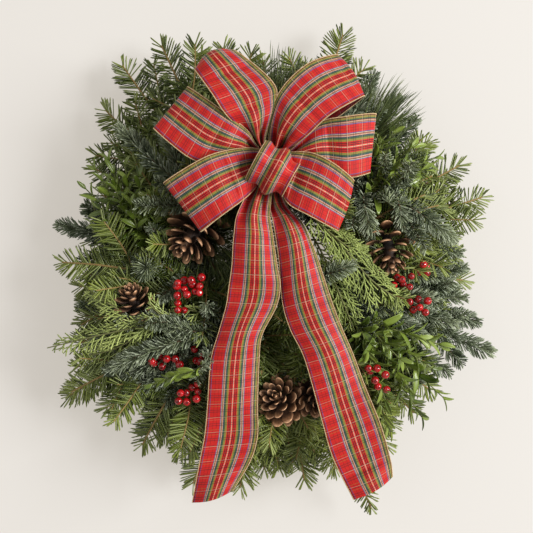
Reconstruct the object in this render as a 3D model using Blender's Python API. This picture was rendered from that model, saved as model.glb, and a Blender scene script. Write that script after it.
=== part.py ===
"""A fresh evergreen wreath, 24 inches across, on a two-rail wire frame.

The frame carries bunches of greens, pine cones, berry sprigs and a ribbon bow. Every piece
is modelled about the wreath's centre, with the wall behind it at y = 0 and its face towards
-Y, and hangs from an empty that sits below the nail. The world's origin is where the nail
enters the wall, inside the top of the hanger loop. All sizes are in metres.
"""
import math
import random

import bmesh
import bpy
from mathutils import Matrix, Vector

GAP = 0.0004                 # clearance between pieces that lie against each other

# wire frame
OUTER_RAIL_RADIUS = 0.165
INNER_RAIL_RADIUS = 0.135
RAIL_WIRE = 0.0035           # diameter of the rails' wire
BRACE_THICKNESS = 0.0015
BRACE_WIDTH = 0.008
BRACE_ANGLES = (54, 126, 234, 306)
RAIL_DEPTH = BRACE_THICKNESS + 0.0003 + RAIL_WIRE / 2     # wall to the rails' centre line
RAIL_FRONT = RAIL_DEPTH + RAIL_WIRE / 2

# hanger
HANGER_WIRE = 0.0012
HANGER_WIDTH = 0.016
NAIL_HEIGHT = 0.193          # wreath's centre up to the nail

# bunches of greens: each stem crosses both rails at a slant and is stacked on the last one
STATION_STEP = 36            # degrees between the places where bunches are bound on
STEM_INNER_RADIUS = 0.130
STEM_OUTER_RADIUS = 0.170
STEM_SLANT = 14              # degrees that a stem runs along the ring between those radii
STEM_HALF_WIDTH = 0.0055
STEM_THICKNESS = 0.006
BINDING_WIRE = 0.0008

# bow, measured from its knot
KNOT = Vector((0.001, -0.150, 0.141))
PINCH_RADIUS = 0.010
RIBBON_WIDTH = 0.0635
RIBBON_THICKNESS = 0.0014    # several times a real ribbon, so that it can be a solid
NECK_SPREAD = 0.60           # a loop's width for each metre from the knot, until it is full

COLOURS = {
    "wire": (0.10, 0.13, 0.10, 1.0, 0.5, 0.8),
    "fir": (0.06, 0.14, 0.04, 1.0, 0.6, 0.0),
    "noble": (0.10, 0.16, 0.14, 1.0, 0.6, 0.0),
    "pine": (0.05, 0.12, 0.05, 1.0, 0.6, 0.0),
    "cedar": (0.16, 0.27, 0.06, 1.0, 0.6, 0.0),
    "box": (0.10, 0.20, 0.05, 1.0, 0.4, 0.0),
    "cone": (0.22, 0.11, 0.05, 1.0, 0.8, 0.0),
    "berry": (0.50, 0.01, 0.01, 1.0, 0.2, 0.0),
    "ribbon": (0.62, 0.03, 0.02, 1.0, 0.6, 0.0),
}


def make_material(name):
    red, green, blue, alpha, roughness, metallic = COLOURS[name]
    material = bpy.data.materials.new(name)
    material.use_nodes = True
    shader = material.node_tree.nodes["Principled BSDF"]
    shader.inputs["Base Color"].default_value = (red, green, blue, alpha)
    shader.inputs["Roughness"].default_value = roughness
    shader.inputs["Metallic"].default_value = metallic
    return material


def place(name, data, slot, angle=0.0):
    """Hang an object on the wreath's centre, turned about the wreath's axis by an angle."""
    piece = bpy.data.objects.new(name, data)
    bpy.context.collection.objects.link(piece)
    piece.parent = centre
    piece.rotation_euler = (0, -math.radians(angle), 0)
    if not data.materials:
        data.materials.append(materials[slot])
    return piece


def finish_mesh(name, bm, smooth_angle=None):
    bmesh.ops.recalc_face_normals(bm, faces=bm.faces)
    mesh = bpy.data.meshes.new(name)
    bm.to_mesh(mesh)
    bm.free()
    if smooth_angle:
        mesh.shade_smooth()
        mesh.set_sharp_from_angle(angle=math.radians(smooth_angle))
    return mesh


def polar(radius, angle, depth):
    """A point at a radius and angle on the wreath's face, a depth out from the wall."""
    turn = math.radians(angle)
    return Vector((radius * math.cos(turn), -depth, radius * math.sin(turn)))


def blend(value, low, high):
    """0 below low, 1 above high and a smooth rise between them."""
    share = min(max((value - low) / (high - low), 0), 1)
    return share * share * (3 - 2 * share)


def read_curve(points, value):
    """Straight-line reading of a list of (place, reading) pairs."""
    for (low, first), (high, second) in zip(points, points[1:]):
        if value <= high:
            share = max((value - low) / (high - low), 0)
            return first + (second - first) * share
    return points[-1][1]


def wire_tube(points, diameter, cyclic=False, sides_setting=1):
    """A round wire along a list of points, as a bevelled curve with closed ends."""
    curve = bpy.data.curves.new("wire", "CURVE")
    curve.dimensions = "3D"
    curve.bevel_depth = diameter / 2
    curve.bevel_resolution = sides_setting
    curve.use_fill_caps = not cyclic
    spline = curve.splines.new("POLY")
    spline.points.add(len(points) - 1)
    for point, where in zip(spline.points, points):
        point.co = (*where, 1)
    spline.use_cyclic_u = cyclic
    spline.use_smooth = True
    return curve


def tube_mesh(routes, diameter, sides_setting=0):
    """Wires along one or more routes as a closed mesh, for joining or cutting."""
    bm = bmesh.new()
    for route in routes:
        curve = wire_tube(route, diameter, sides_setting=sides_setting)
        guide = bpy.data.objects.new("wire_guide", curve)
        bpy.context.scene.collection.objects.link(guide)
        bm.from_mesh(guide.to_mesh())
        guide.to_mesh_clear()
        bpy.data.objects.remove(guide)
    bmesh.ops.remove_doubles(bm, verts=bm.verts, dist=0.00001)
    return finish_mesh("wire", bm)


def loft(sections, close=False):
    """Skin a row of sections, each a ring of points, into one closed body."""
    bm = bmesh.new()
    rings = [[bm.verts.new(point) for point in section] for section in sections]
    pairs = list(zip(rings, rings[1:]))
    if close:
        pairs.append((rings[-1], rings[0]))
    for first, second in pairs:
        edges = []
        for ring in (first, second):
            for one, two in zip(ring, ring[1:] + ring[:1]):
                edges.append(bm.edges.get((one, two)) or bm.edges.new((one, two)))
        bmesh.ops.bridge_loops(bm, edges=edges)
    if not close:
        bmesh.ops.contextual_create(bm, geom=rings[0])
        bmesh.ops.contextual_create(bm, geom=rings[-1])
    bmesh.ops.triangulate(bm, faces=bm.faces)
    return bm


def grow_together(piece, parts):
    """Join hidden part objects to a piece, so that all of them are one body."""
    holder = bpy.data.collections.new(piece.name + "_parts")
    bpy.context.scene.collection.children.link(holder)
    for part in parts:
        holder.objects.link(part)
        part.parent = centre
        part.hide_render = True
        part.display_type = "WIRE"
    union = piece.modifiers.new("grown together", "BOOLEAN")
    union.operation = "UNION"
    union.operand_type = "COLLECTION"
    union.collection = holder
    union.solver = "EXACT"


# ---------------------------------------------------------------- start
for old in list(bpy.data.objects):
    bpy.data.objects.remove(old)

materials = {name: make_material(name) for name in COLOURS}
centre = bpy.data.objects.new("wreath_centre", None)
bpy.context.collection.objects.link(centre)
centre.location = (0, 0, -NAIL_HEIGHT)


# ---------------------------------------------------------------- wire frame
def build_rail(name, radius):
    bm = bmesh.new()
    bmesh.ops.create_circle(bm, segments=6, radius=RAIL_WIRE / 2)
    bmesh.ops.translate(bm, verts=bm.verts, vec=(radius, 0, 0))
    bmesh.ops.rotate(bm, verts=bm.verts, cent=(radius, 0, 0), matrix=Matrix.Rotation(math.pi / 6, 3, "Z"))
    bmesh.ops.translate(bm, verts=bm.verts, vec=(0, -RAIL_DEPTH, 0))
    bmesh.ops.spin(bm, geom=bm.verts[:] + bm.edges[:], cent=(0, 0, 0), axis=(0, 1, 0),
                   angle=math.tau, steps=48, use_merge=True)
    place(name, finish_mesh(name, bm, 50), "wire")


def build_brace(number, angle):
    """A flat strip across the backs of both rails."""
    bm = bmesh.new()
    bmesh.ops.create_cube(bm, size=1)
    length = OUTER_RAIL_RADIUS - INNER_RAIL_RADIUS + 0.012
    bmesh.ops.scale(bm, verts=bm.verts, vec=(length, BRACE_THICKNESS, BRACE_WIDTH))
    middle = (OUTER_RAIL_RADIUS + INNER_RAIL_RADIUS) / 2
    bmesh.ops.translate(bm, verts=bm.verts, vec=(middle, -BRACE_THICKNESS / 2, 0))
    name = f"frame_brace_{number}"
    place(name, finish_mesh(name, bm), "wire", angle)


def build_hanger():
    """One wire: a turn round the outer rail, up into a loop for the nail, and a turn back."""
    turn_radius = RAIL_WIRE / 2 + 0.0003 + HANGER_WIRE / 2
    foot = 0.004
    loop_centre = Vector((0, -HANGER_WIRE / 2 - 0.0003, NAIL_HEIGHT - HANGER_WIDTH / 2 + HANGER_WIRE))
    left = []
    for step in range(13):
        turn = math.radians(250 - 30 * step)
        left.append(Vector((-foot - 0.0003 * (12 - step),
                            -RAIL_DEPTH + turn_radius * math.cos(turn),
                            OUTER_RAIL_RADIUS - 0.0001 + turn_radius * math.sin(turn))))
    left = left[:9]
    arc = []
    for step in range(15):
        turn = math.radians(215 - 250 * step / 14)
        arc.append(loop_centre + Vector((math.cos(turn), 0, math.sin(turn))) * HANGER_WIDTH / 2)
    right = [Vector((-point.x, point.y, point.z)) for point in reversed(left)]
    place("hanger_loop", wire_tube(left + arc + right, HANGER_WIRE), "wire")


build_rail("frame_outer_rail", OUTER_RAIL_RADIUS)
build_rail("frame_inner_rail", INNER_RAIL_RADIUS)
for number, angle in enumerate(BRACE_ANGLES, start=1):
    build_brace(number, angle)
build_hanger()

# ---------------------------------------------------------------- bunches of greens
# How near and how far from the wall each layer of sprays lies, by radius.
LAYERS = {
    "back": ([(0.170, None), (0.205, 0.0060), (0.260, 0.0080), (0.350, 0.0100)],
             [(0.170, None), (0.205, 0.0340), (0.260, 0.0400), (0.350, 0.0340)]),
    "middle": ([(0.170, None), (0.205, 0.0348), (0.260, 0.0408), (0.350, 0.0348)],
               [(0.170, None), (0.205, 0.0740), (0.260, 0.0780), (0.350, 0.0660)]),
    "front": ([(0.170, None), (0.205, 0.0748), (0.260, 0.0788), (0.350, 0.0668)],
              [(0.170, None), (0.205, 0.1120), (0.260, 0.1180), (0.350, 0.1000)]),
    "inner": ([(-0.130, None), (-0.105, 0.0250), (-0.040, 0.0250)],
              [(-0.130, None), (-0.105, 0.0720), (-0.040, 0.0600)]),
}

# name, species, station, direction of the tip in degrees, reach of the tip, breadth
SPRAYS = {
    "back": [
        ("noble_bunch_right_low", "noble", 0, 347.5, 0.292, 0.102),
        ("fir_bunch_right", "fir", 1, 21, 0.316, 0.110),
        ("noble_bunch_top_right", "noble", 2, 62, 0.303, 0.106),
        ("fir_bunch_top", "fir", 3, 102, 0.313, 0.104),
        ("fir_bunch_upper_left", "fir", 4, 133, 0.335, 0.106),
        ("noble_bunch_left", "noble", 5, 168.5, 0.303, 0.108),
        ("fir_bunch_lower_left", "fir", 6, 211, 0.327, 0.106),
        ("fir_bunch_bottom_left", "fir", 7, 246, 0.302, 0.110),
        ("fir_bunch_bottom", "fir", 8, 279, 0.295, 0.108),
        ("fir_bunch_lower_right", "fir", 9, 313, 0.290, 0.110),
    ],
    "middle": [
        ("fir_bunch_right_middle", "fir", 0, 8, 0.270, 0.108),
        ("pine_bunch_upper_right", "pine", 1, 47.6, 0.304, 0.110),
        ("fir_bunch_top_right", "fir", 2, 74, 0.328, 0.096),
        ("fir_bunch_top_left", "fir", 3, 115.6, 0.334, 0.104),
        ("box_bunch_left", "box", 4, 150, 0.295, 0.112),
        ("cedar_bunch_left", "cedar", 5, 197, 0.304, 0.110),
        ("noble_bunch_lower_left", "noble", 6, 229, 0.295, 0.110),
        ("fir_bunch_bottom_middle", "fir", 7, 262, 0.299, 0.108),
        ("fir_bunch_bottom_right", "fir", 8, 293.5, 0.344, 0.100),
        ("noble_bunch_lower_right", "noble", 9, 339, 0.320, 0.104),
    ],
    "front": [
        ("box_bunch_upper_right", "box", 1, 36, 0.255, 0.084),
        ("noble_bunch_under_bow_right", "noble", 2, 72, 0.250, 0.084),
        ("pine_bunch_under_bow_left", "pine", 3, 108, 0.255, 0.084),
        ("noble_bunch_upper_left", "noble", 4, 144, 0.255, 0.084),
        ("noble_bunch_left_low", "noble", 6, 214, 0.262, 0.080),
        ("fir_bunch_left_of_tails", "fir", 7, 250, 0.262, 0.076),
        ("box_bunch_lower_right", "box", 9, 326, 0.262, 0.084),
    ],
    "inner": [
        ("cedar_bunch_right_inner", "cedar", 0, 0, -0.050, 0.080),
        ("pine_bunch_left_inner", "pine", 4, 144, -0.050, 0.078),
        ("noble_bunch_lower_inner", "noble", 6, 216, -0.050, 0.078),
        ("noble_bunch_bottom_inner", "noble", 8, 288, -0.050, 0.080),
    ],
}
stacked = [0] * (360 // STATION_STEP)        # bunches bound on at each station so far


def build_spray(layer, name, species, station, direction, reach, breadth):
    """A tapered, toothed spray that leaves its stem outwards, or inwards for a negative reach.

    A signed radius runs along it, so that the same steps serve both: it is negative, and
    rises towards the centre, on an inner spray.
    """
    level = stacked[station]
    stacked[station] += 1
    stem_back = RAIL_FRONT + GAP + level * (STEM_THICKNESS + GAP)
    stem_front = stem_back + STEM_THICKNESS
    near, far = LAYERS[layer]
    near = [(near[0][0], stem_back)] + near[1:]
    far = [(far[0][0], stem_front)] + far[1:]
    lean = direction - station * STATION_STEP
    lean -= 360 * round(lean / 360)
    inward = reach < 0
    start = -STEM_OUTER_RADIUS if inward else STEM_INNER_RADIUS
    stem_end = -STEM_INNER_RADIUS if inward else STEM_OUTER_RADIUS
    teeth = 6
    shares = [0, 0.35, 0.7, 1.0]
    radii = [start + (stem_end - start) * share for share in shares]
    radii += [stem_end + (reach - stem_end) * (tooth + half) / teeth
              for tooth in range(teeth) for half in (0.5, 1.0)]
    sections = []
    for index, radius in enumerate(radii):
        out = min(max((radius - stem_end) / (reach - stem_end), 0), 1)
        on_stem = min(max((radius - start) / (stem_end - start), 0), 1)
        angle = lean * out - STEM_SLANT * (1 - on_stem)
        swell = blend(out, -0.05, 0.30) * (1 - 0.92 * blend(out, 0.35, 1.0))
        tooth_cut = 0.70 if out > 0 and index % 2 else 1.0
        half_width = STEM_HALF_WIDTH + (breadth / 2 - STEM_HALF_WIDTH) * swell * tooth_cut
        back = read_curve(near, radius)
        front = read_curve(far, radius)
        fullness = 1 - 0.10 * blend(out, 0.0, 0.1) - 0.68 * blend(out, 0.55, 1.0)
        middle = (back + front) / 2
        half_depth = (front - back) / 2 * fullness
        size = abs(radius)
        turn = math.degrees(half_width / size)
        inner_turn = turn * 0.45
        sections.append([
            polar(size, angle - turn, middle),
            polar(size, angle - inner_turn, middle + half_depth),
            polar(size, angle + inner_turn, middle + half_depth),
            polar(size, angle + turn, middle),
            polar(size, angle + inner_turn, middle - half_depth),
            polar(size, angle - inner_turn, middle - half_depth),
        ])
    mesh = finish_mesh(name, loft(sections), 40)
    place(name, mesh, species, station * STATION_STEP)


for layer, rows in SPRAYS.items():
    for row in rows:
        build_spray(layer, *row)


# ---------------------------------------------------------------- binding wire
def build_binding_wire():
    """One wire round the ring: a turn about both rails and the stack of stems at each
    station, and a slanting run between the rails to the next one."""
    side = RAIL_WIRE / 2 + 0.0003 + BINDING_WIRE / 2
    outside = OUTER_RAIL_RADIUS + side
    inside = INNER_RAIL_RADIUS - side
    behind = RAIL_DEPTH - side
    route = []
    for station, count in enumerate(stacked):
        angle = station * STATION_STEP - STEM_SLANT / 2
        ahead = RAIL_FRONT + GAP + count * (STEM_THICKNESS + GAP) + BINDING_WIRE / 2
        corner = 0.0012
        route += [
            polar(outside - 0.004, angle - 1.0, behind),
            polar(outside - corner, angle - 0.8, behind),
            polar(outside, angle - 0.6, behind + corner),
            polar(outside, angle - 0.3, ahead - corner),
            polar(outside - corner, angle - 0.2, ahead),
            polar(inside + corner, angle + 0.2, ahead),
            polar(inside, angle + 0.3, ahead - corner),
            polar(inside, angle + 0.6, behind + corner),
            polar(inside + corner, angle + 0.8, behind),
            polar(inside + 0.004, angle + 1.0, behind),
            polar(inside + 0.008, angle + 4.0, RAIL_DEPTH),
            polar((inside + outside) / 2, angle + STATION_STEP / 2, RAIL_DEPTH),
            polar(outside - 0.008, angle + STATION_STEP - 4.0, RAIL_DEPTH),
        ]
    place("binding_wire", wire_tube(route[:-3], BINDING_WIRE, sides_setting=0), "wire")


build_binding_wire()

# ---------------------------------------------------------------- pine cones
# name, middle (x, depth, z), length, diameter, how the tip leans from straight ahead, and the
# angle on the ring where the cone's wire is fixed
CONES = [
    ("cone_left", (-0.107, 0.112, 0.040), 0.060, 0.062, (-0.35, -0.25), 162),
    ("cone_far_left", (-0.186, 0.106, -0.040), 0.052, 0.046, (-0.50, 0.10), 198),
    ("cone_right", (0.154, 0.108, 0.026), 0.062, 0.052, (0.25, 0.45), 18),
    ("cone_bottom", (0.010, 0.106, -0.172), 0.046, 0.052, (0.10, -0.20), 260),
    ("cone_bottom_right", (0.066, 0.098, -0.173), 0.046, 0.042, (0.30, -0.30), 268),
]
SCALE_ROWS = 6
CONE_WIRE = 0.0012
CONE_WIRE_RADIUS = OUTER_RAIL_RADIUS - RAIL_WIRE / 2 - 0.0003 - CONE_WIRE / 2


def build_cone(name, middle, length, diameter, lean, wire_angle):
    """A turned egg with a step for each row of scales, twisted onto a wire from the frame."""
    profile = [(0, 0)]
    for row in range(SCALE_ROWS):
        share = (row + 0.5) / SCALE_ROWS
        swell = math.sin(math.pi * min(0.10 + 0.86 * share, 1)) ** 0.7
        height = length * share
        profile.append((diameter / 2 * swell * 0.66, height - length * 0.06))
        profile.append((diameter / 2 * swell, height + length * 0.05))
    profile.append((0, length))
    direction = Vector((lean[0], -1, lean[1])).normalized()
    spot = Vector((middle[0], -middle[1], middle[2]))
    bm = bmesh.new()
    points = [bm.verts.new((radius, 0, height - length / 2)) for radius, height in profile]
    for first, second in zip(points, points[1:]):
        bm.edges.new((first, second))
    bmesh.ops.spin(bm, geom=bm.verts[:] + bm.edges[:], cent=(0, 0, 0), axis=(0, 0, 1),
                   angle=math.tau, steps=12, use_merge=True)
    bmesh.ops.remove_doubles(bm, verts=bm.verts, dist=0.00001)
    bmesh.ops.rotate(bm, verts=bm.verts, cent=(0, 0, 0),
                     matrix=direction.to_track_quat("Z", "Y").to_matrix())
    bmesh.ops.translate(bm, verts=bm.verts, vec=spot)
    cone = place(name, finish_mesh(name, bm), "cone")
    root = polar(CONE_WIRE_RADIUS, wire_angle, RAIL_DEPTH)
    foot = spot - direction * length * 0.40
    bend = polar(CONE_WIRE_RADIUS, wire_angle, -foot.y * 0.62)
    route = [root, root.lerp(bend, 0.5), bend, bend.lerp(foot, 0.5), foot]
    grow_together(cone, [bpy.data.objects.new(name + "_wire", tube_mesh([route], CONE_WIRE))])


for row in CONES:
    build_cone(*row)

# ---------------------------------------------------------------- berries
# name, angle on the ring where the twig starts, berries' middle (x, depth, z), spread, count
BERRY_SPRIGS = [
    ("berries_left", 200, (-0.108, 0.118, -0.029), (0.019, 0.010, 0.021), 11),
    ("berries_low_left", 234, (-0.123, 0.130, -0.121), (0.034, 0.008, 0.010), 8),
    ("berries_bottom_left", 237, (-0.111, 0.128, -0.164), (0.014, 0.008, 0.012), 5),
    ("berries_right", 342, (0.196, 0.100, -0.026), (0.024, 0.010, 0.022), 9),
    ("berries_low_right", 306, (0.144, 0.128, -0.141), (0.010, 0.008, 0.014), 5),
]
BERRY_RADIUS = 0.0052


def build_berries(name, angle, middle, spread, count):
    """A twig that forks to each berry, all grown together into one body."""
    rng = random.Random(name)
    root = polar(OUTER_RAIL_RADIUS - 0.0005, angle, RAIL_FRONT + GAP)
    hub = Vector((middle[0], -(middle[1] - 0.022), middle[2]))
    bend = polar(OUTER_RAIL_RADIUS - 0.007, angle, (middle[1] - 0.022) * 0.75)
    twig = tube_mesh([[root, root.lerp(bend, 0.5), bend, bend.lerp(hub, 0.6), hub]], 0.0024, 1)
    sprig = place(name, twig, "berry")
    berries = []
    tries = 0
    while len(berries) < count and tries < 4000:
        tries += 1
        offset = Vector([rng.uniform(-1, 1) * size for size in spread])
        spot = Vector((middle[0], -middle[1], middle[2])) + offset
        if all((spot - other).length > 2.12 * BERRY_RADIUS for other in berries):
            berries.append(spot)
    parts = []
    for index, spot in enumerate(berries):
        fruit = bmesh.new()
        bmesh.ops.create_uvsphere(fruit, u_segments=8, v_segments=5, radius=BERRY_RADIUS)
        bmesh.ops.translate(fruit, verts=fruit.verts, vec=spot)
        start = hub + Vector((0.00003 * index, 0.0002 * index, 0))
        parts.append(bpy.data.objects.new(f"{name}_{index}", finish_mesh(name, fruit)))
        parts.append(bpy.data.objects.new(f"{name}_stalk_{index}", tube_mesh([[start, spot]], 0.0013)))
    grow_together(sprig, parts)


for row in BERRY_SPRIGS:
    build_berries(*row)

# ---------------------------------------------------------------- bow
# The bow is one ribbon. It is pinched and tied at the middle, and each loop, each tail and
# the pinch itself is a piece here.
# name, direction in degrees, length, lift of the loop's middle, tilt of its width in degrees
LOOPS = [
    ("bow_loop_top_left", 111, 0.148, 0.030, 4),
    ("bow_loop_left", 151, 0.151, 0.028, -4),
    ("bow_loop_lower_left", 206, 0.130, 0.032, 5),
    ("bow_loop_top_right", 48, 0.155, 0.030, 4),
    ("bow_loop_right", 12, 0.136, 0.028, -4),
    ("bow_loop_lower_right", 330, 0.113, 0.032, -4),
]
# name, then the ribbon's middle line down the wreath: (x, z, width) and its depth
TAILS = {
    "bow_tail_left": (0.150, [(-0.0036, 0.1315, 0.005), (-0.016, 0.105, 0.024), (-0.024, 0.078, 0.040),
                              (-0.022, 0.007, 0.054), (-0.026, -0.047, 0.058), (-0.041, -0.086, 0.058),
                              (-0.049, -0.130, 0.060), (-0.052, -0.190, 0.060), (-0.058, -0.230, 0.060),
                              (-0.068, -0.260, 0.058), (-0.078, -0.298, 0.056)]),
    "bow_tail_right": (0.146, [(0.0054, 0.1325, 0.005), (0.014, 0.098, 0.022), (0.024, 0.062, 0.036),
                               (0.038, 0.008, 0.052), (0.053, -0.042, 0.056), (0.062, -0.080, 0.058),
                               (0.076, -0.118, 0.060), (0.092, -0.162, 0.060), (0.107, -0.205, 0.060),
                               (0.121, -0.248, 0.058), (0.134, -0.286, 0.056)]),
}


def ribbon_sections(path, widths, across, thickness=RIBBON_THICKNESS):
    """Flat sections, square to a path that folds in the plane square to across."""
    sections = []
    for index, spot in enumerate(path):
        ahead = path[min(index + 1, len(path) - 1)] - path[max(index - 1, 0)]
        side = across.normalized()
        normal = ahead.cross(side).normalized() * thickness / 2
        reach = side * widths[index] / 2
        sections.append([spot - reach - normal, spot + reach - normal,
                         spot + reach + normal, spot - reach + normal])
    return sections


def build_loop(name, direction, length, lift, tilt):
    """A ribbon loop: out from the pinch along the front, round its end and back behind."""
    turn = math.radians(direction)
    out = Vector((math.cos(turn), 0, math.sin(turn)))
    forward = Vector((0, -1, 0))
    across = Matrix.Rotation(math.radians(tilt), 3, out) @ out.cross(forward)
    root = PINCH_RADIUS + 0.0002
    side = [(root, 0.0030), (0.026, 0.0055), (0.045, lift * 0.55), (0.070, lift * 0.95),
            (length * 0.70, lift), (length * 0.88, lift * 0.85), (length * 0.975, lift * 0.5),
            (length, 0.0), (length * 0.97, -0.011), (length * 0.86, -0.018),
            (length * 0.60, -0.019), (0.045, -0.014), (0.026, -0.0075), (root, -0.0030)]
    path = [KNOT + out * along + forward * rise for along, rise in side]
    widths = [min(RIBBON_WIDTH, max(NECK_SPREAD * along, 0.005)) for along, rise in side]
    widths[0] = widths[-1] = 0.0045
    mesh = finish_mesh(name, loft(ribbon_sections(path, widths, across)), 30)
    place(name, mesh, "ribbon")


def build_tail(name, depth, stations):
    path = []
    widths = []
    for index, (x, z, width) in enumerate(stations):
        settle = blend(index, 3, 10) * 0.020
        wave = 0.003 * math.sin(index * 1.3)
        path.append(Vector((x, -(depth - settle + (wave if index > 1 else 0)), z)))
        widths.append(width)
    sections = []
    for index, spot in enumerate(path):
        ahead = path[min(index + 1, len(path) - 1)] - path[max(index - 1, 0)]
        across = Vector((-ahead.z, 0, ahead.x)).normalized()
        normal = ahead.cross(across).normalized() * RIBBON_THICKNESS / 2
        reach = across * widths[index] / 2
        sections.append([spot - reach - normal, spot + reach - normal,
                         spot + reach + normal, spot - reach + normal])
    place(name, finish_mesh(name, loft(sections), 30), "ribbon")


def build_centre_loop():
    """The small rolled loop that covers the tie."""
    radius = 0.0165
    turn = math.radians(-38)
    along = Vector((math.cos(turn), 0, math.sin(turn)))
    forward = Vector((0, -1, 0))
    upward = along.cross(forward)
    middle = KNOT + forward * (PINCH_RADIUS + 0.0006 + 0.0012 + radius)
    sections = []
    for step in range(16):
        angle = math.tau * step / 16
        spoke = forward * math.cos(angle) + upward * math.sin(angle)
        half = 0.021 + 0.007 * math.cos(angle)
        inner = middle + spoke * (radius - RIBBON_THICKNESS)
        outer = middle + spoke * radius
        sections.append([inner - along * half, inner + along * half,
                         outer + along * half, outer - along * half])
    place("bow_centre_loop", finish_mesh("bow_centre_loop", loft(sections, close=True), 40), "ribbon")


def build_pinch():
    bm = bmesh.new()
    bmesh.ops.create_uvsphere(bm, u_segments=14, v_segments=9, radius=PINCH_RADIUS)
    pinch = place("bow_pinch", finish_mesh("bow_pinch", bm, 60), "ribbon")
    pinch.location = KNOT


def build_tie_wire():
    """A turn of wire round the pinch, with both its ends hooked behind the inner rail."""
    wire = 0.0008
    radius = PINCH_RADIUS + 0.0003 + wire / 2
    side = RAIL_WIRE / 2 + GAP + wire / 2
    beside_rail = INNER_RAIL_RADIUS + side
    spacing = 0.002

    def end_of_wire(x):
        run = [Vector((x, KNOT.y + radius + 0.012, KNOT.z - 0.001)),
               Vector((x, -RAIL_FRONT - 0.004, beside_rail + 0.0006))]
        for turn in (105, 80, 55, 30, 5, -20):
            hook = math.radians(turn)
            run.append(Vector((x, -RAIL_DEPTH + side * math.cos(hook),
                               INNER_RAIL_RADIUS + side * math.sin(hook))))
        return run

    first = KNOT.x - spacing / 2
    route = list(reversed(end_of_wire(first)))
    for step in range(17):
        turn = math.radians(70 - 320 * step / 16)
        route.append(Vector((first + spacing * step / 16,
                             KNOT.y + radius * math.sin(turn), KNOT.z + radius * math.cos(turn))))
    route += end_of_wire(first + spacing)
    place("bow_tie_wire", wire_tube(route, wire, sides_setting=0), "wire")


for row in LOOPS:
    build_loop(*row)
for name, (depth, stations) in TAILS.items():
    build_tail(name, depth, stations)
build_centre_loop()
build_pinch()
build_tie_wire()
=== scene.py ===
import math

import bmesh
import bpy
import numpy as np
from mathutils import Matrix, Vector


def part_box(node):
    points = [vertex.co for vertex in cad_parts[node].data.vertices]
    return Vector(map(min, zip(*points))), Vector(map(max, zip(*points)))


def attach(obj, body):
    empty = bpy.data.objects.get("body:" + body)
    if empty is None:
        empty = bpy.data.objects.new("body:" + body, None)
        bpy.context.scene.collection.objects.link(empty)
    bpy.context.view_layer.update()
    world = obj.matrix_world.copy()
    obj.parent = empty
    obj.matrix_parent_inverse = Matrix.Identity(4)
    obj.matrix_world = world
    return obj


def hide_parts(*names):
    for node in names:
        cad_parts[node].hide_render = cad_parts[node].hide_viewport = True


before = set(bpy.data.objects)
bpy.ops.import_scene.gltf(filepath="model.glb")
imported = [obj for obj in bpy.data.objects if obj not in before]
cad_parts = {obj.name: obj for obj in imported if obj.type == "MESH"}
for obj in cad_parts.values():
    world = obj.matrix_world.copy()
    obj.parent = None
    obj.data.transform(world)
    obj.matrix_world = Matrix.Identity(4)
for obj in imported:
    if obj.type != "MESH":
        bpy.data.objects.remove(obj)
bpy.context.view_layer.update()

# ---------------------------------------------------------------- wire frame
# The wreath is built on two steel rings joined by four welded braces, dipped in green
# lacquer. The rings are bent from round wire and lie flat against the braces.
outer_low, outer_high = (Vector(corner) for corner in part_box("frame_outer_rail"))
inner_low, inner_high = (Vector(corner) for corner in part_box("frame_inner_rail"))
CENTRE = Vector((0, 0, (outer_low.z + outer_high.z) / 2))
RAIL_WIRE = 0.0035
RAIL_DEPTH = -(outer_low.y + outer_high.y) / 2
OUTER_RADIUS = (outer_high.x - outer_low.x) / 2 - RAIL_WIRE / 2
INNER_RADIUS = (inner_high.x - inner_low.x) / 2 - RAIL_WIRE / 2


def fill_inputs(tree, node, inputs):
    """Set each input of a node to a value, or join it to a socket."""
    for name, value in inputs.items():
        if isinstance(value, bpy.types.NodeSocket):
            tree.links.new(value, node.inputs[name])
        else:
            node.inputs[name].default_value = value


def add_node(tree, kind, inputs=None, **settings):
    """A shader node with its settings and its inputs."""
    node = tree.nodes.new(kind)
    for name, value in settings.items():
        setattr(node, name, value)
    fill_inputs(tree, node, inputs or {})
    return node


def maths(tree, operation, *values):
    """The result of one sum on numbers or sockets."""
    return add_node(tree, "ShaderNodeMath", dict(enumerate(values)), operation=operation).outputs["Value"]


def remapped(tree, value, low, high, to_low=0.0, to_high=1.0):
    """A value moved from one range to another and kept inside it."""
    limits = {"Value": value, "From Min": low, "From Max": high, "To Min": to_low, "To Max": to_high}
    return add_node(tree, "ShaderNodeMapRange", limits).outputs["Result"]


def mixed(tree, share, first, second):
    """The colour a share of the way from one to another; each is a socket or three numbers."""
    ends = {}
    for name, colour in (("A", first), ("B", second)):
        ends[name] = colour if isinstance(colour, bpy.types.NodeSocket) else (*colour, 1)
    return add_node(tree, "ShaderNodeMix", {"Factor": share, **ends}, data_type="RGBA").outputs["Result"]


def noise_on(tree, scale, detail=2.0):
    """Noise over a piece's own coordinates."""
    place = add_node(tree, "ShaderNodeTexCoord").outputs["Object"]
    spread = {"Vector": place, "Scale": scale, "Detail": detail}
    return add_node(tree, "ShaderNodeTexNoise", spread).outputs["Fac"]


def dented(tree, shader, height, distance, strength):
    """Small bumps in a finish, from a height that changes over it."""
    bump = add_node(tree, "ShaderNodeBump", {"Height": height, "Distance": distance, "Strength": strength})
    fill_inputs(tree, shader, {"Normal": bump.outputs["Normal"]})


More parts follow.
